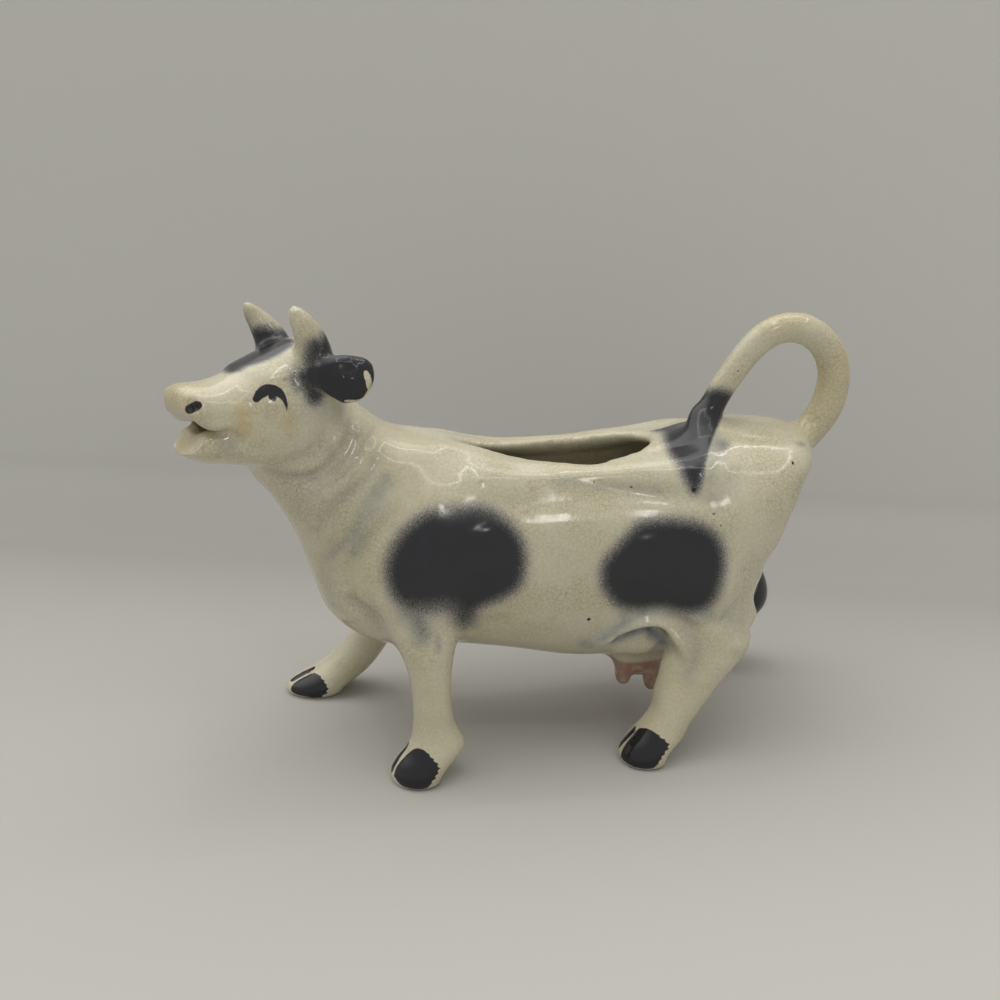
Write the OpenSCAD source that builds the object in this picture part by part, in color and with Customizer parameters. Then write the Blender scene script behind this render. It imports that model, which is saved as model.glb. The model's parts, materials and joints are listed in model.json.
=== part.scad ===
// Cow creamer: a slip-cast ceramic jug shaped as a standing cow.
// The cow faces -X. Its back is filled through an oval opening, it pours
// through the open mouth, and the tail loops forward onto the back as a handle.

/* [Body] */
// Length of the trunk, from the brisket to the root of the tail
body_l = 130; // [115:1:145]
// Width of the trunk across the hips
body_w = 53; // [48:1:58]
// Height of the withers above the table
back_h = 84; // [78:1:92]
// Thickness of the cast wall
wall = 3.5; // [2.5:0.1:4.5]
// Number of sides of each section of the trunk and head
sides = 32; // [24:4:32]
// Number of sides of each section of a leg, an ear or the tail
limb_sides = 24; // [16:4:24]

/* [Filler opening] */
// Length of the opening in the back
opening_l = 50; // [40:1:56]
// Width of the opening at its widest
opening_w = 21; // [16:0.5:24]
// Distance of the opening's front end ahead of the middle of the body
opening_lead = 17; // [12:1:20]

/* [Head] */
// Length of the head, from the poll to the muzzle
head_l = 31.5; // [28:0.5:36]
// Width of the head across the cheeks
head_w = 28; // [24:0.5:32]
// Depth of the head, from the poll to the jaw
head_h = 31; // [28:0.5:34]
// Height of the poll above the withers
poll_rise = 26; // [20:0.5:32]
// Distance of the poll ahead of the middle of the body
poll_lead = 58; // [54:0.5:62]
// Turn of the head to the cow's left, in degrees
head_turn = 28; // [15:1:34]
// Tilt of the head to the cow's right, in degrees
head_tilt = 5; // [0:1:8]
// Sideways shift of the poll to the cow's left
poll_shift = 4; // [1:0.5:6]
// Gap between the lips at the front of the mouth
mouth_gap = 6.5; // [4:0.5:8]
// Bore of the spout behind the mouth
spout_d = 9; // [7:0.5:10]

/* [Horns and ears] */
// Height of a horn above its root
horn_l = 12; // [10:0.5:16]
// Thickness of a horn at its root
horn_d = 9; // [7:0.5:10]
// Distance between the horns' middles
horn_pitch = 21; // [18:0.5:24]
// Length of an ear
ear_l = 12.5; // [10:0.5:16]
// Width of an ear
ear_w = 11; // [9:0.5:13]
// Thickness of an ear
ear_t = 6; // [4:0.5:7]

/* [Legs] */
// How much narrower the stance is than the trunk, between the hooves' middles
stance_inset = 1; // [-3:0.5:5]
// Length of a hoof's sole
hoof_l = 16.5; // [14:0.5:19]
// Width of a hoof's sole
hoof_w = 15; // [13:0.5:17]

/* [Tail handle] */
// Thickness of the tail
tail_d = 8.6; // [7:0.2:10]
// Reach of the tail loop behind the tuft
loop_l = 39; // [34:1:44]
// Height of the tail loop's middle line above the withers
loop_h = 23; // [19:1:28]
// Width of the tuft that lies on the back
tuft_w = 11; // [8:0.5:13]

/* [Udder] */
// Length of the udder
udder_l = 27; // [22:1:30]
// Width of the udder
udder_w = 27; // [22:1:30]
// Depth of the udder
udder_h = 24; // [20:1:27]
// Thickness of a teat
teat_d = 6; // [4.5:0.5:7]
// Length that a teat hangs below the udder
teat_l = 7; // [5:0.5:9]

/* [Hidden] */
$fn = 24;

cream = "#ece7d3";
black = "#17171c";
rose = "#c98278";

stance_w = body_w - stance_inset;
// how far a cut runs past what it cuts
over = 1;
// middle-line steps between two stations of a table
steps = 3;
// sections of the trunk are a little squarer than an ellipse
trunk_square_share = 2.25;
head_square_share = 2.3;
round_square_share = 2;

// Each row is one station of the trunk and neck, from the rump forward:
// along the body, across, up, half height, half width, lean and turn in degrees.
// Places along are shares of body_l, places up of back_h, sizes of half of them.
trunk_shares = [
    [0.592, 0, 0.862, 0.07, 0.19, 0, 0],
    [0.575, 0, 0.842, 0.21, 0.47, 0, 0],
    [0.540, 0, 0.808, 0.33, 0.74, 0, 0],
    [0.494, 0, 0.748, 0.47, 0.90, 0, 0],
    [0.430, 0, 0.695, 0.59, 0.98, 0, 0],
    [0.338, 0, 0.661, 0.63, 1.00, 0, 0],
    [0.215, 0, 0.607, 0.69, 0.95, 0, 0],
    [0.092, 0, 0.600, 0.69, 0.92, 0, 0],
    [-0.031, 0, 0.621, 0.65, 0.93, 0, 0],
    [-0.138, 0, 0.652, 0.645, 0.96, 6, 0],
    [-0.242, 0, 0.674, 0.68, 0.95, 18, 0],
    [-0.300, 0, 0.734, 0.645, 0.83, 28, 0],
    [-0.335, -0.02, 0.806, 0.545, 0.70, 32, 0],
    [-0.370, -0.07, 0.886, 0.445, 0.60, 36, 4],
    [-0.410, -0.13, 0.968, 0.38, 0.54, 40, 12],
    [-0.458, -0.19, 1.065, 0.33, 0.46, 42, 20],
    [-0.500, -0.29, 1.095, 0.20, 0.32, 44, 26]];

// Each row is one station of the skull, from the muzzle back: along the head,
// up, half height, half width. Places are shares of head_l and head_h,
// measured from the poll, sizes of half of head_h and head_w.
skull_shares = [
    [0.990, -0.36, 0.08, 0.22],
    [0.970, -0.36, 0.20, 0.48],
    [0.915, -0.37, 0.29, 0.66],
    [0.800, -0.41, 0.365, 0.73],
    [0.680, -0.46, 0.46, 0.75],
    [0.530, -0.50, 0.60, 0.80],
    [0.370, -0.510, 0.77, 0.91],
    [0.180, -0.520, 0.93, 1.00],
    [0.000, -0.500, 0.99, 0.97],
    [-0.150, -0.465, 0.85, 0.88],
    [-0.250, -0.445, 0.58, 0.64],
    [-0.300, -0.440, 0.22, 0.28]];

// The lower jaw, in the same shares.
jaw_shares = [
    [0.980, -0.655, 0.05, 0.16],
    [0.955, -0.665, 0.12, 0.40],
    [0.870, -0.705, 0.205, 0.56],
    [0.730, -0.725, 0.28, 0.63],
    [0.530, -0.700, 0.38, 0.72],
    [0.350, -0.690, 0.46, 0.84],
    [0.150, -0.660, 0.58, 0.96],
    [-0.030, -0.600, 0.52, 0.89],
    [-0.180, -0.520, 0.32, 0.57]];

// Cheeks, which close the side of the head behind the corner of the mouth:
// along, out, up and radius, in shares of head_l, head_w, head_h and head_w.
cheek_shares = [
    [0.64, 0.22, -0.62, 0.12],
    [0.42, 0.27, -0.62, 0.16],
    [0.18, 0.30, -0.66, 0.18],
    [0.00, 0.26, -0.68, 0.19],
    [-0.12, 0.25, -0.50, 0.19]];

// Legs, from the sole up: along the body, across, up, half length, half width.
// Along is a share of body_l, across of half the stance, up of back_h,
// the sizes are shares of half the hoof.
front_left_shares = [
    [-0.241, -1.00, 0.000, 0.86, 0.94],
    [-0.239, -1.00, 0.024, 0.96, 1.04],
    [-0.225, -1.00, 0.062, 1.00, 1.00],
    [-0.213, -0.99, 0.100, 0.84, 0.84],
    [-0.210, -0.97, 0.145, 0.68, 0.71],
    [-0.211, -0.93, 0.225, 0.61, 0.68],
    [-0.213, -0.89, 0.310, 0.64, 0.71],
    [-0.216, -0.84, 0.388, 0.82, 0.81],
    [-0.221, -0.77, 0.476, 1.14, 0.92],
    [-0.223, -0.66, 0.595, 1.20, 0.80]];
front_right_shares = [
    [-0.424, 1.00, 0.000, 0.92, 0.94],
    [-0.418, 1.00, 0.024, 1.02, 1.04],
    [-0.385, 1.00, 0.062, 1.04, 1.00],
    [-0.350, 0.99, 0.112, 0.90, 0.85],
    [-0.320, 0.97, 0.167, 0.80, 0.75],
    [-0.295, 0.93, 0.232, 0.79, 0.71],
    [-0.266, 0.89, 0.310, 0.85, 0.74],
    [-0.240, 0.82, 0.393, 1.00, 0.84],
    [-0.226, 0.74, 0.488, 1.14, 0.88],
    [-0.223, 0.64, 0.595, 1.14, 0.78]];
rear_left_shares = [
    [0.214, -1.00, 0.000, 0.84, 0.94],
    [0.217, -1.00, 0.024, 0.94, 1.04],
    [0.233, -1.00, 0.062, 1.00, 1.00],
    [0.252, -0.99, 0.107, 0.90, 0.84],
    [0.273, -0.98, 0.155, 0.82, 0.76],
    [0.298, -0.95, 0.214, 0.82, 0.74],
    [0.325, -0.92, 0.274, 0.91, 0.77],
    [0.350, -0.89, 0.333, 1.08, 0.82],
    [0.358, -0.86, 0.375, 1.14, 0.88],
    [0.356, -0.80, 0.430, 1.26, 0.98],
    [0.364, -0.71, 0.500, 1.46, 1.05],
    [0.374, -0.58, 0.620, 1.48, 0.90]];
rear_right_shares = [
    [0.424, 1.00, 0.000, 0.84, 0.94],
    [0.428, 1.00, 0.024, 0.94, 1.04],
    [0.445, 1.00, 0.062, 1.02, 1.00],
    [0.470, 0.99, 0.098, 0.94, 0.86],
    [0.502, 0.98, 0.138, 0.89, 0.78],
    [0.534, 0.95, 0.185, 0.88, 0.76],
    [0.550, 0.92, 0.232, 0.90, 0.78],
    [0.548, 0.89, 0.280, 0.93, 0.82],
    [0.525, 0.86, 0.338, 1.12, 0.88],
    [0.480, 0.80, 0.410, 1.38, 0.98],
    [0.430, 0.71, 0.500, 1.52, 1.05],
    [0.395, 0.58, 0.620, 1.46, 0.90]];

// Tail: back from the tuft, across, up from the withers, half thickness, half
// width. Shares of loop_l, of half the stance, of loop_h and of half of tail_d.
tail_shares = [
    [0.560, 0, -0.90, 1.10, 1.10],
    [0.705, 0, -0.50, 1.06, 1.06],
    [0.835, 0, -0.19, 1.03, 1.03],
    [0.935, 0, 0.13, 1.02, 1.02],
    [0.958, 0, 0.48, 1.00, 1.00],
    [0.880, 0, 0.79, 0.97, 0.97],
    [0.718, 0, 0.98, 0.95, 0.95],
    [0.545, 0, 0.95, 0.90, 0.92],
    [0.395, 0, 0.76, 0.84, 0.88],
    [0.285, 0, 0.48, 0.78, 0.86],
    [0.180, -0.01, 0.17, 0.76, 0.90],
    [0.090, -0.06, -0.07, 0.80, 1.00]];
// The tuft lies on the back: along from the front of the loop, across, up,
// half width and half thickness, in loop_l, half the stance, loop_h,
// half of tuft_w and half of tail_d.
tuft_shares = [
    [0.130, -0.03, 0.06, 0.68, 0.86],
    [0.050, -0.16, -0.12, 0.84, 0.90],
    [0.010, -0.34, -0.24, 1.00, 0.84],
    [-0.015, -0.52, -0.38, 0.90, 0.70],
    [-0.030, -0.68, -0.56, 0.55, 0.48],
    [-0.035, -0.76, -0.68, 0.20, 0.25]];
loop_x = 0.345 * body_l;

// Muscles that swell out of the trunk: along, across, up as shares of body_l,
// half of body_w and back_h, and half sizes as shares of body_w.
muscle_shares = [
    [-0.215, 0.50, 0.595, 0.32, 0.27, 0.38],
    [0.345, 0.47, 0.570, 0.40, 0.29, 0.43]];

// Small helpers
function unit(v) = v / norm(v);
function blend4(a, b, c, d, t) =
    0.5 * (2 * b + (c - a) * t + (2 * a - 5 * b + 4 * c - d) * t * t
    + (3 * b - a - 3 * c + d) * t * t * t);
function at(rows, i) = rows[max(0, min(len(rows) - 1, i))];
function eased(rows) = [for (i = [0 : len(rows) - 2]) for (k = [0 : steps - 1])
    blend4(at(rows, i - 1), rows[i], rows[i + 1], at(rows, i + 2), k / steps),
    rows[len(rows) - 1]];
function power(v, n) = sign(v) * pow(abs(v), 2 / n);
function section(mid, side, up, half_w, half_h, square, count) =
    [for (k = [0 : count - 1]) let (a = 360 * k / count)
    mid + side * half_w * power(cos(a), square) + up * half_h * power(sin(a), square)];

// A closed skin over a list of sections, each a ring of the same point count.
module skin(rings) {
    n = len(rings[0]);
    last = len(rings) - 1;
    polyhedron(
        points = [for (r = rings) for (p = r) p],
        faces = concat(
            [[for (k = [0 : n - 1]) k]],
            [[for (k = [n - 1 : -1 : 0]) last * n + k]],
            [for (i = [0 : last - 1]) for (k = [0 : n - 1])
                let (a = i * n + k, b = i * n + (k + 1) % n) [a, a + n, b]],
            [for (i = [0 : last - 1]) for (k = [0 : n - 1])
                let (a = i * n + k, b = i * n + (k + 1) % n) [b, a + n, b + n]]),
        convexity = 8);
}

// Sections of the trunk, shrunk by an inset for the hollow.
function trunk_up(r) = [sin(r[5]) * cos(r[6]), sin(r[5]) * sin(r[6]), cos(r[5])];
function trunk_side(r) = [sin(r[6]), -cos(r[6]), 0];
function trunk_ring(r, inset) = section(
    [r[0] * body_l, r[1] * body_w / 2, r[2] * back_h],
    trunk_side(r), trunk_up(r),
    max(r[4] * body_w / 2 - inset, wall), max(r[3] * back_h / 2 - inset, wall),
    trunk_square_share, sides);
function trunk_rings(rows, inset) = [for (r = eased(rows)) trunk_ring(r, inset)];

// The head's own frame: along the head, to its left, and up.
poll = [-poll_lead, -poll_shift, back_h + poll_rise];
ahead = [-cos(head_turn), -sin(head_turn), 0];
level_left = [sin(head_turn), -cos(head_turn), 0];
leftward = level_left * cos(head_tilt) + [0, 0, sin(head_tilt)];
upward = cross(ahead, leftward);
function on_head(along, left, up) = poll + ahead * along + leftward * left + upward * up;
function head_rings(rows, inset) = [for (r = eased(rows)) section(
    on_head(r[0] * head_l, 0, r[1] * head_h), -leftward, upward,
    max(r[3] * head_w / 2 - inset, wall / 3), max(r[2] * head_h / 2 - inset, wall / 3),
    head_square_share, sides)];

// Sections along a route, each square to it, held by a side direction.
function along(route, i) = unit(at(route, i + 1) - at(route, i - 1));
function route_rings(route, sizes, ref) = [for (i = [0 : len(route) - 1])
    let (t = along(route, i), up = unit(cross(t, ref)), side = cross(up, t))
    section(route[i], side, up, sizes[i][1], sizes[i][0], round_square_share, limb_sides)];

// The trunk as cast, with the swell of each shoulder and haunch
module muscle(row, hand) {
    mid = [row[0] * body_l, hand * row[1] * body_w / 2, row[2] * back_h];
    translate(mid) scale([row[3], row[4], row[5]]) hull() sphere(r = body_w);
}
module trunk_form() {
    skin(trunk_rings(trunk_shares, 0));
    for (hand = [-1, 1]) for (row = muscle_shares) muscle(row, hand);
}
module cheek(hand) hull() for (r = cheek_shares)
    translate(on_head(r[0] * head_l, hand * r[1] * head_w, r[2] * head_h))
        sphere(r = r[3] * head_w);
module head_form() {
    skin(head_rings(skull_shares, 0));
    skin(head_rings(jaw_shares, 0));
    for (hand = [-1, 1]) cheek(hand);
}
module cow_form() {
    trunk_form();
    head_form();
}

// The origin is under the middle of the length from the nose to the tail.
function xs(rings) = [for (r = rings) for (p = r) p[0]];
nose_x = min(xs(head_rings(skull_shares, 0)));
tail_x = max(xs(tail_rings()));
module placed() translate([-(nose_x + tail_x) / 2, 0, 0]) children();

// The seam where head and neck meet, at the third station from the front,
// is a plane square to the neck.
seam_row = trunk_shares[len(trunk_shares) - 3];
seam_at = [seam_row[0] * body_l, seam_row[1] * body_w / 2, seam_row[2] * back_h];
seam_lean = seam_row[5];
seam_turn = seam_row[6];
big = body_l;
module ahead_of_seam() {
    translate(seam_at) rotate([0, 0, seam_turn]) rotate([0, seam_lean, 0])
        translate([-big, -big / 2, -big / 2]) cube([big, big, big]);
}

// The hollow: trunk and neck from the fourth station on, head, and the spout
// that ends in the mouth
function rows_from(rows, i) = [for (k = [i : len(rows) - 1]) rows[k]];
mouth_z = -0.51 * head_h;
mouth_shares = [
    [1.10, 0.00, 0.56, 0.85],
    [0.97, -0.01, 0.50, 0.85],
    [0.87, -0.03, 0.42, 0.80],
    [0.79, -0.05, 0.34, 0.56],
    [0.70, -0.06, 0.26, 0.30]];
function mouth_rings() = [for (r = eased(mouth_shares)) section(
    on_head(r[0] * head_l, 0, mouth_z + r[1] * head_h), -leftward, upward,
    r[3] * head_w / 2, r[2] * mouth_gap, round_square_share, limb_sides)];
// The bore widens from the mouth back: along the head and bore, in head_l and spout_d.
spout_shares = [[0.78, 0.84], [0.55, 1.00], [0.25, 1.08], [-0.10, 1.36]];
module spout_bore() for (i = [0 : len(spout_shares) - 2]) hull()
    for (r = [spout_shares[i], spout_shares[i + 1]])
        translate(on_head(r[0] * head_l, 0, mouth_z - 0.05 * head_h))
            sphere(d = r[1] * spout_d);
module hollow() {
    skin(trunk_rings(rows_from(trunk_shares, 3), wall));
    skin(head_rings([for (i = [6 : 9]) skull_shares[i]], wall * 1.2));
    spout_bore();
    skin(mouth_rings());
}
module opening_cut() {
    front_r = 0.12 * opening_w;
    low = 0.75 * back_h;
    translate([-opening_lead, 0, low]) linear_extrude(back_h - low + over) hull() {
        translate([front_r, 0]) circle(r = front_r);
        translate([0.36 * opening_l, 0]) circle(r = 0.35 * opening_w);
        translate([0.62 * opening_l, 0]) circle(r = 0.5 * opening_w);
        translate([opening_l - 0.36 * opening_w, 0]) circle(r = 0.36 * opening_w);
    }
}

// Pieces
module body_shell() color(cream) placed() difference() {
    cow_form();
    ahead_of_seam();
    hollow();
    opening_cut();
}

module head_shell() color(cream) placed() difference() {
    intersection() {
        cow_form();
        ahead_of_seam();
    }
    hollow();
}

// Horns rise from the poll, spread a little and lean ahead.
horn_shares = [
    [-0.10, -0.10, -0.42, 0.52],
    [-0.04, 0.00, -0.10, 0.46],
    [0.06, 0.06, 0.20, 0.37],
    [0.18, 0.08, 0.44, 0.29],
    [0.30, 0.04, 0.62, 0.19]];
module horn_form(hand) for (i = [0 : len(horn_shares) - 2]) hull()
    for (r = [horn_shares[i], horn_shares[i + 1]])
        translate(on_head(r[0] * horn_l, hand * (horn_pitch / 2 + r[1] * horn_d),
            r[2] * horn_l)) sphere(r = r[3] * horn_d);
module horn(hand) color(cream) placed() difference() {
    horn_form(hand);
    cow_form();
}
module left_horn() horn(1);
module right_horn() horn(-1);

// Ears are fat leaves that point back and out.
ear_shares = [
    [0.14, -0.26, -0.12, 0.24, 0.40],
    [-0.06, 0.00, -0.10, 0.32, 0.46],
    [-0.34, 0.18, -0.14, 0.46, 0.52],
    [-0.62, 0.26, -0.22, 0.52, 0.52],
    [-0.80, 0.28, -0.26, 0.42, 0.46],
    [-0.90, 0.28, -0.30, 0.14, 0.16]];
module ear(hand) {
    rows = eased(ear_shares);
    root_out = 0.52 * head_w;
    root_down = 0.19 * head_h;
    route = [for (r = rows) on_head(r[0] * ear_l, hand * (root_out + r[1] * ear_l),
        r[2] * ear_l - root_down)];
    sizes = [for (r = rows) [r[4] * ear_t, r[3] * ear_w]];
    color(black) placed() difference() {
        skin(route_rings(route, sizes, upward));
        cow_form();
        horn_form(hand);
    }
}
module left_ear() ear(1);
module right_ear() ear(-1);

// Legs stand on flat soles.
module leg_form(rows) skin([for (r = eased(rows)) section(
    [r[0] * body_l, r[1] * stance_w / 2, r[2] * back_h], [1, 0, 0], [0, 1, 0],
    r[3] * hoof_l / 2, r[4] * hoof_w / 2, round_square_share, limb_sides)]);
module leg(rows) color(cream) placed() difference() {
    leg_form(rows);
    trunk_form();
}
module front_left_leg() leg(front_left_shares);
module front_right_leg() leg(front_right_shares);
module rear_left_leg() leg(rear_left_shares);
module rear_right_leg() leg(rear_right_shares);

// The tail leaves the rump, loops forward and ends in a tuft on the back.
function loop_point(r) =
    [loop_x + r[0] * loop_l, r[1] * stance_w / 2, back_h + r[2] * loop_h];
function tail_rings() = let (rows = eased(tail_shares)) route_rings(
    [for (r = rows) loop_point(r)],
    [for (r = rows) [r[3], r[4]] * tail_d / 2], [0, 1, 0]);
function tuft_rings() = let (rows = eased(tuft_shares)) route_rings(
    [for (r = rows) loop_point(r)],
    [for (r = rows) [r[4] * tail_d / 2, r[3] * tuft_w / 2]], [1, 0, 0]);
module tail_handle() color(cream) placed() difference() {
    union() {
        skin(tail_rings());
        skin(tuft_rings());
    }
    trunk_form();
}

// The udder hangs between the rear legs.
udder_at = [0.240 * body_l, 0, 0.330 * back_h];
module bag() scale([udder_l / udder_w, 1, udder_h / udder_w]) sphere(d = udder_w);
module udder_form() translate(udder_at) hull() {
    bag();
    translate([0, 0, udder_h / 2]) bag();
}
module udder() color(cream) placed() difference() {
    udder_form();
    trunk_form();
    leg_form(rear_left_shares);
    leg_form(rear_right_shares);
}

teat_places_shares = [[-0.22, 0.27], [0.16, 0.27]];
module teats() color(rose) placed() difference() {
    for (hand = [-1, 1]) for (p = teat_places_shares)
        translate(udder_at + [p[0] * udder_l, hand * p[1] * udder_w, -udder_h / 2]) hull() {
            translate([0, 0, udder_h / 4]) sphere(d = teat_d * 1.3);
            translate([0, 0, teat_d / 2 - teat_l]) sphere(d = teat_d);
        }
    udder_form();
    trunk_form();
}

body_shell();
head_shell();
left_horn();
right_horn();
left_ear();
right_ear();
front_left_leg();
front_right_leg();
rear_left_leg();
rear_right_leg();
tail_handle();
udder();
teats();
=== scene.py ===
import bpy
import json
import math
import numpy as np
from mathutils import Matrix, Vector
from mathutils.bvhtree import BVHTree

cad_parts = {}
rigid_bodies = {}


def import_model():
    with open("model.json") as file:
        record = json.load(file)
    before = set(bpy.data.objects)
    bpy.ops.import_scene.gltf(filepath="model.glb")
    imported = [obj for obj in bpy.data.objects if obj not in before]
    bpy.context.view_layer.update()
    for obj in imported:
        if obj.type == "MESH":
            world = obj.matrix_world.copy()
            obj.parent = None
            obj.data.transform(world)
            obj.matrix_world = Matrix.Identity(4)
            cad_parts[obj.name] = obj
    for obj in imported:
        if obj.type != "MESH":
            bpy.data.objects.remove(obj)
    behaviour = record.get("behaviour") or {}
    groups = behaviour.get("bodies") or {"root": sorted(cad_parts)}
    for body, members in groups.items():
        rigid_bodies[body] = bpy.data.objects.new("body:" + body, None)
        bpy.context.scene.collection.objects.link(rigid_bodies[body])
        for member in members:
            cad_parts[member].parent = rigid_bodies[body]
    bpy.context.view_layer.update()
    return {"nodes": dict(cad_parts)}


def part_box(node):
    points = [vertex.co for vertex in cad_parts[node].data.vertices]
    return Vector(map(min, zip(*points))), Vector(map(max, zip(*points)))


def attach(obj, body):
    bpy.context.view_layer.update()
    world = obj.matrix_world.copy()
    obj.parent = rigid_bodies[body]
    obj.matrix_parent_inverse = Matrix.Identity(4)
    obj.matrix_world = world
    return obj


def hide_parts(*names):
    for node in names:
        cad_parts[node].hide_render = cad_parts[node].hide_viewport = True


# Looks of a slip-cast, hand-painted cow creamer. Lengths in the dictionaries are in mm,
# colours are linear. The cow faces -X, its left side is -Y.

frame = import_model()
nodes = frame["nodes"]
print("blank castings loaded:", len(nodes))


def dropSelection():
    if bpy.context.object and bpy.context.object.mode != "OBJECT":
        bpy.ops.object.mode_set(mode="OBJECT")
    bpy.ops.object.select_all(action="DESELECT")


def pick(obj):
    dropSelection()
    obj.select_set(True)
    bpy.context.view_layer.objects.active = obj


def selectNone(kind):
    # nothing selected in edit mode, and back to object mode, where code picks what it needs
    bpy.ops.object.mode_set(mode="EDIT")
    bpy.ops.mesh.select_mode(type=kind)
    bpy.ops.mesh.select_all(action="DESELECT")
    bpy.ops.object.mode_set(mode="OBJECT")


def applyAll(obj):
    pick(obj)
    for mod in list(obj.modifiers):
        bpy.ops.object.modifier_apply(modifier=mod.name)


def readPoints(obj):
    flat = np.empty(len(obj.data.vertices) * 3, np.float32)
    obj.data.vertices.foreach_get("co", flat)
    return flat.reshape(-1, 3).astype(float) * 1000


def writePoints(obj, points):
    obj.data.vertices.foreach_set("co", (points / 1000).astype(np.float32).ravel())
    obj.data.update()


def readNormals(obj):
    flat = np.empty(len(obj.data.vertices) * 3, np.float32)
    obj.data.vertex_normals.foreach_get("vector", flat)
    return flat.reshape(-1, 3).astype(float)


def writeLayer(obj, name, values):
    layer = obj.data.attributes.get(name) or obj.data.attributes.new(name, "FLOAT", "POINT")
    layer.data.foreach_set("value", values.astype(np.float32))


def smoothStep(low, high, value):
    t = np.clip((value - low) / (high - low), 0, 1)
    return t * t * (3 - 2 * t)


def between(value, rise, fall):
    # soft window: 0 below the rise, 1 in the middle, 0 above the fall
    return smoothStep(*rise, value) * (1 - smoothStep(*fall, value))


def curveThrough(points, steps=6):
    p = np.array(points, float)
    if len(p) < 3:
        return np.array([p[0] + (p[-1] - p[0]) * k / steps for k in range(steps + 1)])
    ends = np.vstack([2 * p[0] - p[1], p, 2 * p[-1] - p[-2]])
    out = []
    for i in range(1, len(ends) - 2):
        a, b, c, d = ends[i - 1:i + 3]
        for k in range(steps):
            t = k / steps
            out.append(0.5 * (2 * b + (c - a) * t + (2 * a - 5 * b + 4 * c - d) * t * t
                              + (3 * b - a - 3 * c + d) * t ** 3))
    out.append(p[-1])
    return np.array(out)


def distanceTo(points, path):
    # nearest distance to a path, and how far along it that is, from 0 to 1
    best = np.full(len(points), 1e9)
    share = np.zeros(len(points))
    span = len(path) - 1
    for i in range(span):
        a, b = path[i], path[i + 1]
        ab = b - a
        t = np.clip(((points - a) @ ab) / max(float(ab @ ab), 1e-9), 0, 1)
        d = np.linalg.norm(points - a - t[:, None] * ab, axis=1)
        near = d < best
        best[near] = d[near]
        share[near] = (i + t[near]) / span
    return best, share


# camera, table and light

shot = {"turn": 9.1, "tilt": 19.7, "away": 330.0, "aim": (-5.85, 0.0, 64.3), "spread": 42.96}


def placeCamera():
    turn, tilt = math.radians(shot["turn"]), math.radians(shot["tilt"])
    back = Vector((-math.sin(turn) * math.cos(tilt), -math.cos(turn) * math.cos(tilt),
                   math.sin(tilt)))
    data = bpy.data.cameras.new("photoCamera")
    data.sensor_fit = "HORIZONTAL"
    data.angle = math.radians(shot["spread"])
    data.clip_start, data.clip_end = 0.01, 20
    cam = bpy.data.objects.new("photoCamera", data)
    bpy.context.scene.collection.objects.link(cam)
    cam.location = (Vector(shot["aim"]) + back * shot["away"]) / 1000
    cam.rotation_euler = (-back).to_track_quat("-Z", "Y").to_euler()
    bpy.context.scene.camera = cam


room = {"floorTone": (0.438, 0.429, 0.405), "wallTone": (0.60, 0.60, 0.575), "foldAt": 126.0,
        "foldTurn": -17.5, "foldRound": 26.0, "wallHigh": 215.0, "reach": 2500.0,
        "tentTone": (1.0, 0.985, 0.955), "tentLow": 0.53, "tentHigh": 2.0,
        "tentAim": (-0.20, 0.34, 0.92), "tentEdge": 0.47, "farTone": (0.35, 0.345, 0.315),
        "paperRough": 0.85, "paperShine": 0.1, "foldSteps": 16, "foldClimb": 1.2,
        "tableDrop": 0.6}


def plainTone(name, tone, upper=None):
    # one matt tone; with an upper one it turns into that up the fold, seen from the front only
    mat = bpy.data.materials.new(name)
    mat.use_nodes = True
    tree = mat.node_tree
    shader = tree.nodes["Principled BSDF"]
    shader.inputs["Base Color"].default_value = (*tone, 1)
    shader.inputs["Roughness"].default_value = room["paperRough"]
    shader.inputs["Specular IOR Level"].default_value = room["paperShine"]
    if upper:
        where = tree.nodes.new("ShaderNodeTexCoord")
        parts = tree.nodes.new("ShaderNodeSeparateXYZ")
        climb = tree.nodes.new("ShaderNodeMapRange")
        climb.interpolation_type = "SMOOTHSTEP"
        climb.inputs["From Max"].default_value = room["foldClimb"] * room["foldRound"] / 1000
        blend = tree.nodes.new("ShaderNodeMix")
        blend.data_type = "RGBA"
        blend.inputs["A"].default_value = (*tone, 1)
        blend.inputs["B"].default_value = (*upper, 1)
        side = tree.nodes.new("ShaderNodeNewGeometry")
        clear = tree.nodes.new("ShaderNodeBsdfTransparent")
        mix = tree.nodes.new("ShaderNodeMixShader")
        for start, end in ((where.outputs["Object"], parts.inputs[0]),
                           (parts.outputs["Z"], climb.inputs["Value"]),
                           (climb.outputs[0], blend.inputs[0]),
                           (blend.outputs["Result"], shader.inputs["Base Color"]),
                           (side.outputs["Backfacing"], mix.inputs[0]),
                           (shader.outputs[0], mix.inputs[1]),
                           (clear.outputs[0], mix.inputs[2]),
                           (mix.outputs[0], tree.nodes["Material Output"].inputs[0])):
            tree.links.new(start, end)
    return mat


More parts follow.
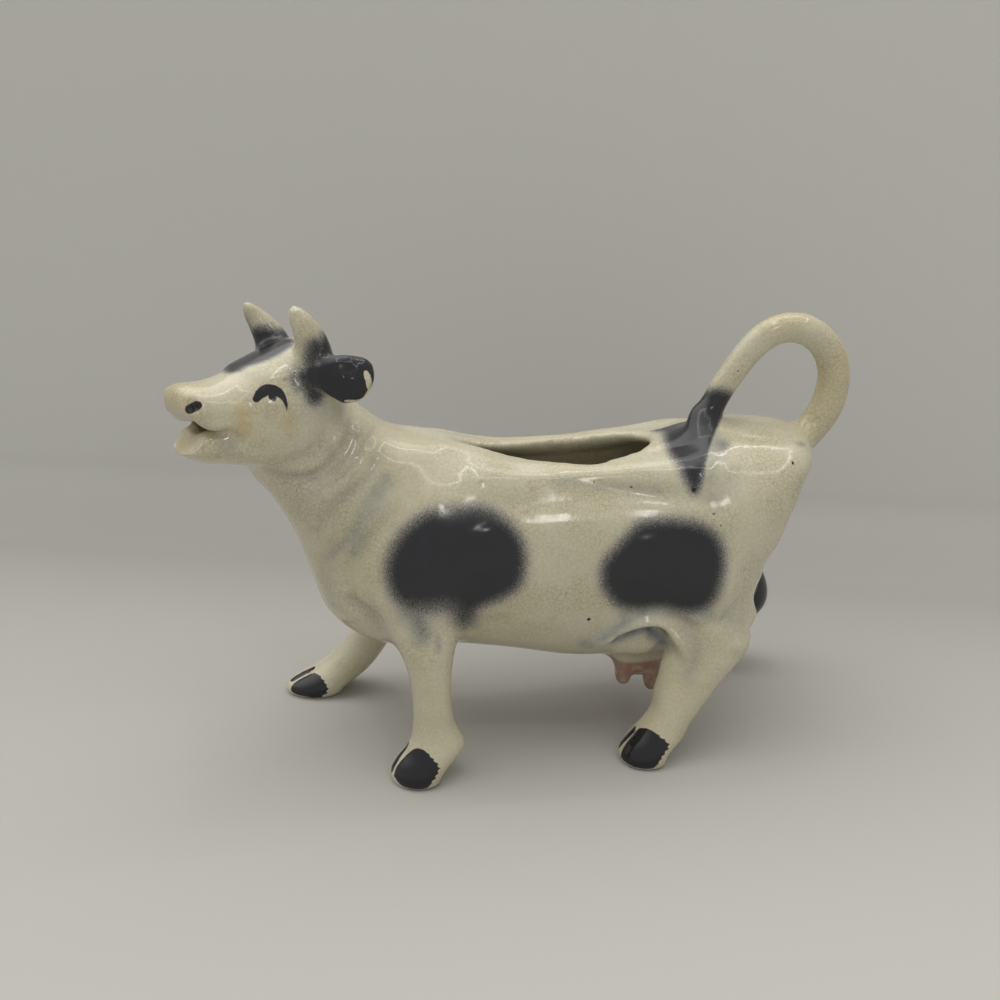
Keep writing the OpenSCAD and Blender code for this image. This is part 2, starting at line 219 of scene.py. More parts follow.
def layTable():
    reach = room["reach"] / 1000
    dropSelection()
    bpy.ops.mesh.primitive_plane_add(size=2 * reach,
                                     location=(0, 0, -room["tableDrop"] / 1000))
    floor = bpy.context.object
    floor.name = "table"
    floor.data.materials.append(plainTone("tablePaper", room["floorTone"]))
    dropSelection()
    bpy.ops.mesh.primitive_plane_add(size=2, location=(0, 0, 0))
    sweep = bpy.context.object
    sweep.name = "paperSweep"
    points = readPoints(sweep)
    points[:, 0] *= reach * 1000
    points[:, 1] = np.where(points[:, 1] > 0, room["foldAt"], -reach * 1000)
    writePoints(sweep, points)
    selectNone("EDGE")
    for edge in sweep.data.edges:
        edge.select = all(sweep.data.vertices[v].co.y > 0 for v in edge.vertices)
    bpy.ops.object.mode_set(mode="EDIT")
    bpy.ops.mesh.extrude_region_move(
        TRANSFORM_OT_translate={"value": (0, 0, room["wallHigh"] / 1000)})
    bpy.ops.mesh.select_all(action="DESELECT")
    bpy.ops.object.mode_set(mode="OBJECT")
    for edge in sweep.data.edges:
        ends = [sweep.data.vertices[v].co for v in edge.vertices]
        edge.select = all(e.y > 0 and e.z < 0.001 for e in ends)
    bpy.ops.object.mode_set(mode="EDIT")
    bpy.ops.mesh.bevel(offset=room["foldRound"] / 1000, segments=room["foldSteps"],
                       affect="EDGES")
    bpy.ops.object.mode_set(mode="OBJECT")
    bpy.ops.object.shade_smooth()
    sweep.rotation_euler[2] = math.radians(room["foldTurn"])
    bpy.ops.object.transform_apply(location=True, rotation=True, scale=True)
    up = sum(p.normal.z for p in sweep.data.polygons)
    if up < 0:
        sweep.data.flip_normals()
    sweep.data.materials.append(plainTone("sweepPaper", room["floorTone"], room["wallTone"]))


def lightTent():
    # a soft white tent: plain at the sides and brighter overhead
    world = bpy.data.worlds.new("lightTent")
    bpy.context.scene.world = world
    world.use_nodes = True
    tree = world.node_tree
    back = tree.nodes["Background"]
    way = tree.nodes.new("ShaderNodeTexCoord")
    dot = tree.nodes.new("ShaderNodeVectorMath")
    dot.operation = "DOT_PRODUCT"
    dot.inputs[1].default_value = Vector(room["tentAim"]).normalized()
    ramp = tree.nodes.new("ShaderNodeMapRange")
    ramp.interpolation_type = "SMOOTHSTEP"
    ramp.inputs["From Min"].default_value = room["tentEdge"]
    ramp.inputs["To Min"].default_value = room["tentLow"]
    ramp.inputs["To Max"].default_value = room["tentHigh"]
    tree.links.new(way.outputs["Generated"], dot.inputs[0])
    tree.links.new(dot.outputs["Value"], ramp.inputs["Value"])
    tree.links.new(ramp.outputs[0], back.inputs[1])
    back.inputs[0].default_value = (*room["tentTone"], 1)
    plain = tree.nodes.new("ShaderNodeBackground")
    plain.inputs[0].default_value = (*room["farTone"], 1)
    rays = tree.nodes.new("ShaderNodeLightPath")
    mix = tree.nodes.new("ShaderNodeMixShader")
    tree.links.new(rays.outputs["Is Camera Ray"], mix.inputs[0])
    tree.links.new(back.outputs[0], mix.inputs[1])
    tree.links.new(plain.outputs[0], mix.inputs[2])
    tree.links.new(mix.outputs[0], tree.nodes["World Output"].inputs[0])


lamps = {"ringAt": (345, -140, 1010), "ringSide": 780, "ringTube": 30, "ringBright": 9.5,
         "windowTurn": 12, "windowRise": 36, "windowAway": 620, "windowWide": 34,
         "windowHigh": 105, "windowBright": 12.0, "windowLook": (10, 0, 60),
         "tone": (1.0, 0.985, 0.955)}


def hangLamp(name, at, wide, high, bright, look):
    data = bpy.data.lights.new(name, "AREA")
    data.shape = "RECTANGLE"
    data.size, data.size_y = wide / 1000, high / 1000
    data.energy = bright * math.pi * data.size * data.size_y
    data.color = lamps["tone"]
    lamp = bpy.data.objects.new(name, data)
    bpy.context.scene.collection.objects.link(lamp)
    lamp.location = Vector(at) / 1000
    lamp.rotation_euler = (Vector(look) - Vector(at)).to_track_quat("-Z", "Y").to_euler()
    return lamp


def hangLamps():
    x, y, z = lamps["ringAt"]
    side, tube, bright = lamps["ringSide"], lamps["ringTube"], lamps["ringBright"]
    for name, across, along, wide, high in (
            ("ringFront", 0, -1, side, tube), ("ringBack", 0, 1, side, tube),
            ("ringLeft", -1, 0, tube, side), ("ringRight", 1, 0, tube, side)):
        at = (x + across * side / 2, y + along * side / 2, z)
        hangLamp(name, at, wide, high, bright, (at[0], at[1], 0))
    turn, rise = math.radians(lamps["windowTurn"]), math.radians(lamps["windowRise"])
    at = Vector((math.sin(turn) * math.cos(rise), -math.cos(turn) * math.cos(rise),
                 math.sin(rise))) * lamps["windowAway"]
    hangLamp("window", tuple(at), lamps["windowWide"], lamps["windowHigh"],
             lamps["windowBright"], lamps["windowLook"])


placeCamera()
layTable()
lightTent()
hangLamps()
print("camera, table and lamps placed")


# the slip-cast body, first as one whole

smallParts = ["left_horn", "right_horn", "left_ear", "right_ear", "front_left_leg",
              "front_right_leg", "rear_left_leg", "rear_right_leg", "teats", "udder",
              "tail_handle"]
bigParts = ["head_shell", "body_shell"]
partNames = smallParts + bigParts

casting = {"voxel": 0.8, "facetSteps": 34, "facetOrder": 2, "filletSteps": 26,
           "filletShare": 0.55, "headSteps": 6, "tuck": 0.9}

headAt = np.array([-57.45, -4.0, 110.0])  # top of the brow, between the horns
headTurn, headLean = math.radians(28), math.radians(5)
headFore = np.array([-math.cos(headTurn), -math.sin(headTurn), 0])
headSide = np.array([math.sin(headTurn), -math.cos(headTurn), 0]) * math.cos(headLean) \
    + np.array([0, 0, math.sin(headLean)])
headUp = np.cross(headFore, headSide)


def toHead(points):
    q = points - headAt
    return np.stack([q @ headFore, q @ headSide, q @ headUp], axis=1)


def edgePairs(obj):
    flat = np.empty(len(obj.data.edges) * 2, np.int32)
    obj.data.edges.foreach_get("vertices", flat)
    return flat.reshape(-1, 2)


def neighbourMean(values, pairs, count):
    a, b = pairs[:, 0], pairs[:, 1]
    out = np.empty_like(values)
    for k in range(values.shape[1]):
        out[:, k] = np.bincount(a, values[b, k], len(values)) \
            + np.bincount(b, values[a, k], len(values))
    return out / count[:, None]


def relaxed(values, pairs, steps, share=0.5):
    count = np.bincount(pairs.ravel(), minlength=len(values)).clip(1)
    for _ in range(steps):
        values = values + share * (neighbourMean(values, pairs, count) - values)
    return values


def lowPass(points, pairs, steps, order):
    # takes out what is finer than the steps reach, and keeps the rest where it is
    left = points
    for _ in range(order):
        left = left - relaxed(left, pairs, steps)
    return points - left


def joinBlanks():
    blanks = []
    for name, src in nodes.items():
        blank = bpy.data.objects.new("blank_" + name, src.data.copy())
        bpy.context.scene.collection.objects.link(blank)
        blanks.append(blank)
    dropSelection()
    for blank in blanks:
        blank.select_set(True)
    bpy.context.view_layer.objects.active = blanks[0]
    bpy.ops.object.join()
    whole = bpy.context.object
    whole.name = "wholeCast"
    whole.data.materials.clear()
    bpy.ops.object.mode_set(mode="EDIT")
    bpy.ops.mesh.select_all(action="SELECT")
    bpy.ops.mesh.remove_doubles(threshold=1e-6)
    bpy.ops.object.mode_set(mode="OBJECT")
    mod = whole.modifiers.new("slip", "REMESH")
    mod.mode = "VOXEL"
    mod.voxel_size = casting["voxel"] / 1000
    applyAll(whole)
    # sealed pockets between the solids are dropped, and the outer skin kept
    selectNone("VERT")
    points = readPoints(whole)
    whole.data.vertices[int(points[:, 0].argmax())].select = True
    bpy.ops.object.mode_set(mode="EDIT")
    bpy.ops.mesh.select_linked()
    bpy.ops.mesh.select_all(action="INVERT")
    bpy.ops.mesh.delete(type="VERT")
    bpy.ops.object.mode_set(mode="OBJECT")
    return whole


def surfaceGap(points, name, within):
    # distance of each point from a node's surface, looked for only near the node
    mesh = nodes[name].data
    tree = BVHTree.FromPolygons([v.co[:] for v in mesh.vertices],
                                [p.vertices[:] for p in mesh.polygons])
    low, high = [np.array(c) * 1000 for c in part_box(name)]
    gap = np.full(len(points), 1e3)
    near = np.where(((points > low - within) & (points < high + within)).all(axis=1))[0]
    for i in near:
        found = tree.find_nearest(points[i] / 1000, (within + 1) / 1000)
        if found[3] is not None:
            gap[i] = found[3] * 1000
    return gap


marking = {"smallReach": 1.6, "bigReach": 3.0, "smallLead": 0.05, "voteSteps": 6}


def labelPoints(whole):
    # each point belongs to the part whose solid it lies nearest to
    points = readPoints(whole)
    gaps = np.stack([surfaceGap(points, name, marking["smallReach"] if name in smallParts
                                else marking["bigReach"]) for name in partNames])
    gaps[:len(smallParts)] -= marking["smallLead"]
    owner = gaps.argmin(axis=0)
    pairs = edgePairs(whole)
    votes = np.stack([(owner == k).astype(float) for k in range(len(partNames))], axis=1)
    return relaxed(votes, pairs, marking["voteSteps"]).argmax(axis=1)


# what stays crisp: ahead of the poll and above the throat in the head's frame, and the hooves
crisp = {"ahead": (-16, -6), "above": (-40, -30), "hoofTop": (9, 13), "steps": 8}
# where the faces are made smaller: head, hooves, udder and the tuft of the tail
fineZones = {"headBack": -15, "headLow": -36, "hoofTop": 15,
             "udder": {"front": 8, "back": 46, "low": 18, "high": 40, "out": 22},
             "tuft": {"front": 30, "back": 62, "low": 76, "out": 24}, "edge": (-0.8, 1)}


def smoothFacets(whole):
    points, pairs = readPoints(whole), edgePairs(whole)
    soft = lowPass(points, pairs, casting["facetSteps"], casting["facetOrder"])
    fine = lowPass(points, pairs, crisp["steps"], 1)
    head = toHead(points)
    keep = smoothStep(*crisp["ahead"], head[:, 0]) * smoothStep(*crisp["above"], head[:, 2])
    keep = np.maximum(keep, 1 - smoothStep(*crisp["hoofTop"], points[:, 2]))
    writePoints(whole, soft + (fine - soft) * keep[:, None])


def fineRegion(points):
    # above zero inside the zones of small shapes
    head = toHead(points)
    x, y, z = points.T
    udder, tuft = fineZones["udder"], fineZones["tuft"]
    onHead = np.minimum(head[:, 0] - fineZones["headBack"], head[:, 2] - fineZones["headLow"])
    onFeet = fineZones["hoofTop"] - z
    onUdder = np.minimum.reduce([x - udder["front"], udder["back"] - x, z - udder["low"],
                                 udder["high"] - z, udder["out"] - np.abs(y)])
    onTuft = np.minimum.reduce([x - tuft["front"], tuft["back"] - x, z - tuft["low"],
                                tuft["out"] - np.abs(y)])
    return np.maximum.reduce([onHead, onFeet, onUdder, onTuft])


def refineRegion(whole):
    selectNone("FACE")
    inside = fineRegion(readPoints(whole)) > 0
    faces = whole.data.polygons
    faces.foreach_set("select", [bool(all(inside[v] for v in f.vertices)) for f in faces])
    bpy.ops.object.mode_set(mode="EDIT")
    bpy.ops.mesh.subdivide(number_cuts=1)
    bpy.ops.object.mode_set(mode="OBJECT")
    points, pairs = readPoints(whole), edgePairs(whole)
    soft = lowPass(points, pairs, casting["headSteps"], 1)
    near = smoothStep(*fineZones["edge"], fineRegion(points))
    writePoints(whole, points + (soft - points) * near[:, None])


def fillCreases(whole, steps, share, mask):
    # slip gathers in the hollows between the parts: only inward corners are filled
    whole.data.calc_loop_triangles()
    flat = np.empty(len(whole.data.loop_triangles) * 3, np.int32)
    whole.data.loop_triangles.foreach_get("vertices", flat)
    faces = flat.reshape(-1, 3)
    faces = faces[(mask[faces] > 0.001).any(axis=1)]
    used, faces = np.unique(faces, return_inverse=True)
    faces = faces.reshape(-1, 3)
    everything = readPoints(whole)
    points, weight = everything[used], share * mask[used]
    pairs = np.unique(np.sort(np.vstack([faces[:, [0, 1]], faces[:, [1, 2]],
                                         faces[:, [2, 0]]]), axis=1), axis=0)
    count = np.bincount(pairs.ravel(), minlength=len(points)).clip(1)
    for _ in range(steps):
        a, b, c = points[faces[:, 0]], points[faces[:, 1]], points[faces[:, 2]]
        flatNormals = np.cross(b - a, c - a)
        normals = np.stack([sum(np.bincount(faces[:, k], flatNormals[:, d], len(points))
                                for k in range(3)) for d in range(3)], axis=1)
        normals /= np.linalg.norm(normals, axis=1).clip(1e-9)[:, None]
        pull = neighbourMean(points, pairs, count) - points
        out = np.clip((pull * normals).sum(axis=1), 0, None) * weight
        points = points + out[:, None] * normals
    everything[used] = points
    writePoints(whole, everything)


whole = joinBlanks()
print("cast joined:", len(whole.data.vertices), "points")
smoothFacets(whole)
refineRegion(whole)
owner = labelPoints(whole)
print("cast smoothed and its parts marked:", len(whole.data.vertices), "points")


# modelling strokes on the cast

def sideView(points):
    return points[:, [0, 2]]


def backView(points):
    return points[:, [1, 2]]


def obliqueView(points):
    # as seen a little from the front and from above, the same for both sides
    x, y, z = points[:, 0], -np.abs(points[:, 1]), points[:, 2]
    return np.stack([0.987 * x - 0.158 * y, 0.053 * x + 0.333 * y + 0.942 * z], axis=1)


def ribs(points, rows, facing=None):
    # each row is a path in space or on a drawing plane, its half width and its height, in mm;
    # with a facing only what faces the drawing plane is pushed
    push = np.zeros(len(points))
    for path, width, height in rows:
        line = curveThrough(path)
        low, high = line.min(axis=0) - 3 * width, line.max(axis=0) + 3 * width
        near = ((points > low) & (points < high)).all(axis=1)
        if facing is not None:
            near &= facing > 0.02
        near = np.where(near)[0]
        gap, along = distanceTo(points[near], line)
        ends = np.minimum(smoothStep(-0.02, 0.16, along), 1 - smoothStep(0.84, 1.02, along))
        rise = height * np.exp(-(gap / width) ** 2) * ends
        push[near] += rise if facing is None else rise * smoothStep(0.02, 0.35, facing[near])
    return push


def bothSides(rows):
    return rows + [([(x, -y, z) for x, y, z in path], w, h) for path, w, h in rows]


# neck folds, shoulder, flank and leg as seen from the side: x and z
foldA = [(-42, 88.5), (-46.5, 82), (-50.8, 79), (-57, 77)]
foldB = [(-38.5, 88), (-43, 83), (-47, 78.5), (-53, 75)]
foldC = [(-37.5, 83), (-41, 78), (-47, 73), (-53.5, 65)]
foldD = [(-38, 76), (-42, 70), (-46, 63), (-51.5, 57)]
shoulderEdge = [(-32.5, 73), (-38, 66.5), (-43.5, 59.5), (-45.8, 54.5), (-46, 47), (-41, 43),
                (-37, 36.5)]
sideRows = [
    (foldA, 1.5, -0.6), (foldB, 1.3, -0.45), (foldC, 1.6, -0.55), (foldD, 1.6, -0.45),
    ([(-45, 77), (-50, 74), (-55, 70)], 1.5, 0.3),
    (shoulderEdge, 1.7, -1.3), ([(-33, 66), (-38, 60), (-41, 52), (-38, 45)], 2.4, 0.5),
    ([(-48.5, 50), (-48, 45), (-45.5, 39)], 1.6, 0.7),
    ([(-50, 62), (-51.5, 52), (-49.5, 44)], 1.6, -0.5),
    ([(-34, 69), (-30, 62), (-29.5, 55)], 3.2, 0.5),
    ([(-21, 66), (-23, 57), (-24, 47)], 2.6, -0.45),
    ([(-13, 67), (-12, 60), (-14, 53)], 3.5, 0.5),
    ([(-17, 36), (-13, 40), (-7, 41)], 2.0, -0.5),
    ([(12, 29.5), (18.5, 33.5), (23.5, 36.6), (28.5, 38), (33, 37), (36, 33.5), (38, 27)],
     1.5, 2.2),
    ([(20, 31.5), (25, 34.2), (29.5, 34.4), (33, 31)], 2.0, -2.4),
    ([(20, 27), (25, 27.5), (31, 25.5)], 2.6, 0.9),
    ([(20, 38), (25, 41), (31, 41), (37, 38)], 1.6, -0.6),
    ([(33, 40), (38, 37), (41, 32)], 1.4, -0.4), ([(37, 41), (42, 38), (45, 34)], 1.4, 0.35),
    ([(49.5, 33), (53, 30)], 2.4, 0.8), ([(48, 41), (51, 38)], 3.4, -0.8),
    ([(44, 40), (47, 33), (47, 27)], 2.2, -0.45),
    ([(33, 62), (35, 54), (34, 47)], 2.6, -0.45), ([(26, 62), (27, 55), (25, 48)], 3.4, 0.45)]
rumpRows = [([(0, 74), (0, 60), (0, 46)], 17, -1.6)]  # seen from behind: y and z
backRows = bothSides([
    ([(-24.5, -7.5, 83.7), (-18.5, -10, 81.1), (-7.5, -10.9, 78), (2.5, -11.6, 76.7),
      (17, -13.7, 75.5), (29.5, -15.9, 74.8), (39, -19.3, 73.9)], 1.9, 0.55),
    ([(1.8, -14.8, 74.6), (16.6, -17.4, 72.6), (28, -19.6, 71), (36, -21.5, 70)], 2.1, -0.6)])

# the head as seen from its side: forward and up from the brow
jawRidge = [(26, -24.7), (21.5, -23.6), (17.5, -24.8), (9.6, -29), (5.5, -30.2), (2, -29.5),
            (-2, -26), (-5.5, -21.4), (-8.5, -17.8)]
jawGroove = [(12, -30.6), (7, -32), (2.2, -31.2), (-3, -27.4), (-7, -22.8), (-10.2, -18)]
headRows = [
    (jawRidge, 1.5, 0.45), (jawGroove, 1.5, -0.8),
    ([(15.5, -5.2), (10, -6.4), (4, -6)], 2.2, 0.4),
    ([(14.5, -12.6), (11.4, -13), (8, -13.2)], 2.4, 0.3),
    ([(20, -9), (17.5, -12), (18, -16)], 2.4, -0.25),
    ([(26, -18.2), (22.5, -18.6), (20, -20), (19.2, -22)], 0.9, -0.35),
    ([(29.5, -15), (25.5, -16.4), (21, -17), (18.5, -19.5)], 1.1, 0.35)]
nostrilRows = [  # forward, sideways, up
    ([(30, 6.5, -11.9), (29.1, 7.5, -11.4), (28.2, 8.5, -10.9)], 1.25, -1.5),
    ([(31.2, 5.2, -9), (29.8, 7.2, -8.3), (27.8, 9.3, -8.7), (26.6, 10.3, -10.6)], 1.1, 0.3)]
earFolds = [([(1.5, 13.9, -10), (-1.2, 16.3, -9.4), (-4.2, 19.6, -8)], 1.5, 0.4),
            ([(0.5, 14.5, -7), (-3, 18.2, -6.2), (-6, 20.2, -6.8)], 1.9, -0.45),
            ([(-1.5, 15.5, -11.2), (-5, 18.4, -11)], 1.9, -0.4)]
hornTips = [([(1.5, 11, 1), (2.8, 11, 5.5), (4.2, 11, 9)], 3.2, 0.4)]

hindStep = 27.2  # how far the far hind foot stands behind the near one


def farHind(path):
    return [(x + hindStep, -y, z) for x, y, z in path]


nearHindCleft = [(21.8, -26.2, 2.5), (23.6, -25.9, 5.4), (26, -25.8, 8.6)]
clefts = [(path, 0.8, -0.5) for path in (
    [(-37.8, -27.4, 2.2), (-36.4, -27, 5.6), (-33.4, -26.8, 9.2)],
    nearHindCleft, farHind(nearHindCleft),
    [(-62.6, 24, 2.6), (-60, 24.2, 4.7), (-56.8, 24, 6.5)])]
# low domes on the shoulder: middle, half width and height
domes = [((-29, -12.5, 82.3), 5.0, 0.9), ((-13.6, -17.8, 76.1), 4.0, 0.65)]


def mirrored(rows):
    return rows + [([(s, -t, u) for s, t, u in path], w, h) for path, w, h in rows]


def inHead(points):
    head = toHead(points)
    return smoothStep(-14, -10, head[:, 0]) * smoothStep(-36, -32, head[:, 2])


def nearBox(points, low, high, edge):
    inside = np.minimum((points - low).min(axis=1), (np.array(high) - points).min(axis=1))
    return smoothStep(0, edge, inside)


def bump(points, middle, half):
    return np.exp(-(((points - middle) / half) ** 2).sum(axis=1))


# places nudged by thumb before firing: middle, half sizes and shift
nudges = [
    ((-31, 0, 88), (9, 14, 9), (0, 0, -2.6)),  # withers
    ((-10, 5, 82), (12, 12, 7), (0, 0, -1.0)),
    ((27, 9, 79), (14, 8, 6), (0, 0, 0.8)),  # far rim of the opening
    ((-16, -9, 81), (12, 5, 5), (0, 0, 1.3)),  # near rim
    ((35, 6, 82), (8, 7, 6), (0, 0, -1.5)),  # behind the opening
    ((40, -3, 86.5), (3.5, 8, 3.5), (-0.9, 0, 1.0)),  # front edge of the tail's strand
    ((43, -3, 88.5), (4, 8, 4), (-1.7, 0, 1.7)),
    ((31, -14, 30), (6, 5, 5), (0, -4.5, 0)),  # near side of the udder
    ((52, -2, 92), (12, 9, 13), (-2.3, 0, 0.6)),  # loop of the tail
    ((64, -2, 106), (9, 8, 8), (-0.8, 0, 1.0)),
    ((38, -22, 27), (5, 7, 9), (-4.2, 0, 0)),  # back of the near hind leg
    ((35, -24, 17), (4, 8, 6), (-2.2, 0, 0)),
    ((41, -28, 9), (5.5, 8, 5), (-1.0, 0, 0)), ((68, 28, 9), (5.5, 8, 5), (-1.0, 0, 0)),
    ((37, -27, 3), (5, 9, 3.4), (-3.0, 0, 0)), ((64, 27, 3), (5, 9, 3.4), (-3.0, 0, 0)),
    ((-20.5, -28, 4.5), (4.5, 8, 4), (-1.3, 0, 0)),  # heels of the forefeet
    ((-22, -28, 1.5), (4.5, 8, 3), (-1.4, 0, 0)),
    ((-44, 24, 3.5), (4.5, 8, 4), (-1.2, 0, 0)),
    ((-19.5, -27, 9.8), (4, 6, 3.8), (1.9, 0, 0)),  # pastern of the near forefoot
    ((-61, 24, 4), (6, 8, 6), (-2.6, 0.4, 0)),  # far toe
    ((-65, -6, 80), (8, 14, 6), (-0.6, 0, -1.9))]  # throat
headNudges = [  # the same in the head's frame, for both sides
    ((-6.5, 22.5, -6), (6, 4, 7), (0, 0, -1.9)),  # ear
    ((-2, 16.5, -12.5), (4.5, 4, 3.5), (0, 0, -2.2)),
    ((3.5, 11, 7), (6, 6, 8), (0, 0, -0.6)),
    ((-8, 22, -4), (3.5, 4, 3.5), (0.5, 0, -1.7)),
    ((29.8, 8, -18.8), (3, 4, 2.2), (0, 0, -1.4)), ((31.5, 5, -18), (3, 5, 2.2), (0, 0, -1.2)),
    ((33.5, 6, -12.5), (4.5, 8, 3.2), (0.1, 0, -0.4))]  # lip
headOnce = [  # and those that have no twin
    ((3.5, -11, 7), (6, 6, 8), (0.4, -0.4, -0.7)),  # far horn
    ((5, -12, 13), (5, 5, 7), (1.1, 0, 1.3)),
    ((32.5, 3, -22.5), (2.5, 6, 2), (1.2, 0, 0)),  # tip of the chin
    ((22.5, 8, -25), (4, 6, 3), (0, 0, 1.3)),  # jaw
    ((32, 0, -18.4), (3.8, 10, 2.6), (0, 0, -4.4))]  # lower lip
# the lower lip, and how far the lips close towards the corner of the mouth
mouth = {"lowAhead": (18, 30), "lowUp": (-22.5, -20.5), "lowShift": (0.5, 0, -0.6),
         "gapUp": -17.2, "gapReach": 4.5, "closeAt": [19, 24.5, 26.5, 28.5, 30.5, 35],
         "closeShare": [0, 0.97, 0.85, 0.4, 0.08, 0]}
# how far the rump is drawn in: heights and depths, with soft edges across and ahead
rumpEdge = {"across": (-6, 8), "ahead": (45, 57)}
nearRumpCut = ([32, 34, 36, 38, 40, 42, 45, 49, 55, 62, 68, 72, 76, 80, 84],
               [0, 1.0, 2.9, 4.6, 5.6, 5.9, 5.2, 4.3, 3.8, 3.9, 3.0, 1.9, 0.9, 0.3, 0])
farRumpCut = ([10, 16, 30, 40, 52, 56, 62, 68, 72, 76, 80, 84],
              [0, 1.3, 1.3, 0.8, 2.0, 3.6, 3.9, 3.0, 1.9, 0.9, 0.3, 0])


def nudgeCast(whole):
    points = readPoints(whole)
    moved = points.copy()
    for middle, half, shift in nudges:
        moved += bump(points, middle, half)[:, None] * shift
    x, y, z = points.T
    side = smoothStep(*rumpEdge["across"], y)
    cut = (1 - side) * np.interp(z, *nearRumpCut) + side * np.interp(z, *farRumpCut)
    moved[:, 0] -= cut * smoothStep(*rumpEdge["ahead"], x)
    head = toHead(points)
    s, u = head[:, 0], head[:, 2]
    shift = np.zeros_like(points)
    for (a, b, c), half, way in headNudges:
        for sign in (-1, 1):
            shift += bump(head, (a, sign * b, c), half)[:, None] * way
    for middle, half, way in headOnce:
        shift += bump(head, middle, half)[:, None] * way
    low = smoothStep(*mouth["lowAhead"], s) * (1 - smoothStep(*mouth["lowUp"], u))
    shift += low[:, None] * mouth["lowShift"]
    gape = u - mouth["gapUp"]
    shift[:, 2] -= gape * np.interp(s, mouth["closeAt"], mouth["closeShare"]) \
        * np.exp(-(gape / mouth["gapReach"]) ** 2)
    moved += shift[:, :1] * headFore + shift[:, 1:2] * headSide + shift[:, 2:] * headUp
    writePoints(whole, moved)


openingRim = {"up": (71, 74), "front": (-34, -28), "back": (40, 46), "out": (15, 19),
              "steps": 40, "order": 2}
flank = {"facing": (0.0, 0.25), "front": (-26, -12), "back": (44, 58), "low": (48, 60),
         "high": (74, 78), "steps": 150, "belly": (10, 66), "bellyHalf": (15, 8),
         "bellySwell": 0.9}
# the shoulder of the side stands up to the rim
sideTop = {"front": (-22, -6), "back": (40, 52), "out": (9.5, 14), "up": (69, 77.5),
           "crest": (72, 78), "widen": 3.4, "raise": 0.7}


def softenRim(whole):
    points, pairs = readPoints(whole), edgePairs(whole)
    x, y, z = points.T
    mask = smoothStep(*openingRim["up"], z) * (1 - smoothStep(*openingRim["out"], np.abs(y))) \
        * between(x, openingRim["front"], openingRim["back"])
    soft = lowPass(points, pairs, openingRim["steps"], openingRim["order"])
    writePoints(whole, points + mask[:, None] * (soft - points))


def softenFlanks(whole):
    # the knee between side and back is worn down and the belly made rounder lengthways
    points, pairs, normals = readPoints(whole), edgePairs(whole), readNormals(whole)
    x, y, z = points.T
    outer = smoothStep(*flank["facing"], normals[:, 1] * np.sign(y))
    mask = outer * between(x, flank["front"], flank["back"]) \
        * between(z, flank["low"], flank["high"])
    soft = relaxed(points, pairs, flank["steps"])
    points = points + mask[:, None] * (soft - points)
    swell = outer * flank["bellySwell"] * bump(np.stack([x, z], axis=1), flank["belly"],
                                               flank["bellyHalf"])
    points = points + swell[:, None] * normals
    out = between(x, sideTop["front"], sideTop["back"]) * smoothStep(*sideTop["up"], z) \
        * smoothStep(*sideTop["out"], np.abs(y))
    points[:, 1] += sideTop["widen"] * out * np.sign(y)
    points[:, 2] += sideTop["raise"] * out * smoothStep(*sideTop["crest"], z)
    writePoints(whole, points)


# teats: place along and how much shorter, how far out, and where they start
teat = {"rows": ((25.6, 0.26), (36.2, 0.05)), "out": 7.5, "reach": 5.2, "top": 21,
        "box": ((17, -14, 5), (43, 14, 26), 2), "fade": (20, 24), "lean": 0.24, "leanTo": 29.8,
        "webAt": (30.5, 19), "webHalf": (4.2, 6, 6), "webUp": (14.5, 18), "webDrop": 3.8,
        "farBack": 2.2, "farOut": (1, 5), "farFront": (25, 31), "steps": 14}


def shortenTeats(whole):
    points = readPoints(whole)
    x, y, z = points.T
    top = teat["top"]
    for middle, lift in teat["rows"]:
        for hand in (-1, 1):
            near = np.hypot(x - middle, y - hand * teat["out"]) < teat["reach"]
            points[:, 2] = np.where(near & (z < top), z + (top - z) * lift, points[:, 2])
    low = (1 - smoothStep(*teat["fade"], z)) * nearBox(points, *teat["box"])
    # the teats lean together, with a web between
    points[:, 0] -= teat["lean"] * (x - teat["leanTo"]) * low
    along, up = teat["webAt"]
    web = smoothStep(*teat["webUp"], z) * low * sum(
        bump(points, (along, hand * teat["out"], up), teat["webHalf"]) for hand in (-1, 1))
    points[:, 2] -= teat["webDrop"] * web
    points[:, 0] += teat["farBack"] * low * smoothStep(*teat["farOut"], y) \
        * (1 - smoothStep(*teat["farFront"], x))
    soft = relaxed(points, edgePairs(whole), teat["steps"])
    writePoints(whole, points + low[:, None] * (soft - points))


def modelCast(whole):
    points, normals = readPoints(whole), readNormals(whole)
    push = ribs(points, backRows)
    push += ribs(backView(points), rumpRows, normals[:, 0] * (points[:, 0] > 50))
    head = toHead(points)
    for side in (-1, 1):
        facing = np.where(side * points[:, 1] > 0, side * normals[:, 1], -1)
        push += ribs(sideView(points), sideRows, facing)
        facing = np.where(-side * head[:, 1] > 0, -side * (normals @ headSide), -1)
        facing = np.where(head[:, 0] > -14, facing + 0.25, -1)
        push += ribs(head[:, [0, 2]], headRows, facing)
    push += ribs(head, mirrored(nostrilRows + earFolds) + hornTips) + ribs(points, clefts)
    for middle, wide, high in domes:
        push += high * bump(points, middle, (wide, wide, wide))
    writePoints(whole, points + push[:, None] * normals)


def mirroredBoxes(low, high, edge):
    return [(low, high, edge), ((low[0], -high[1], low[2]), (high[0], -low[1], high[2]), edge)]


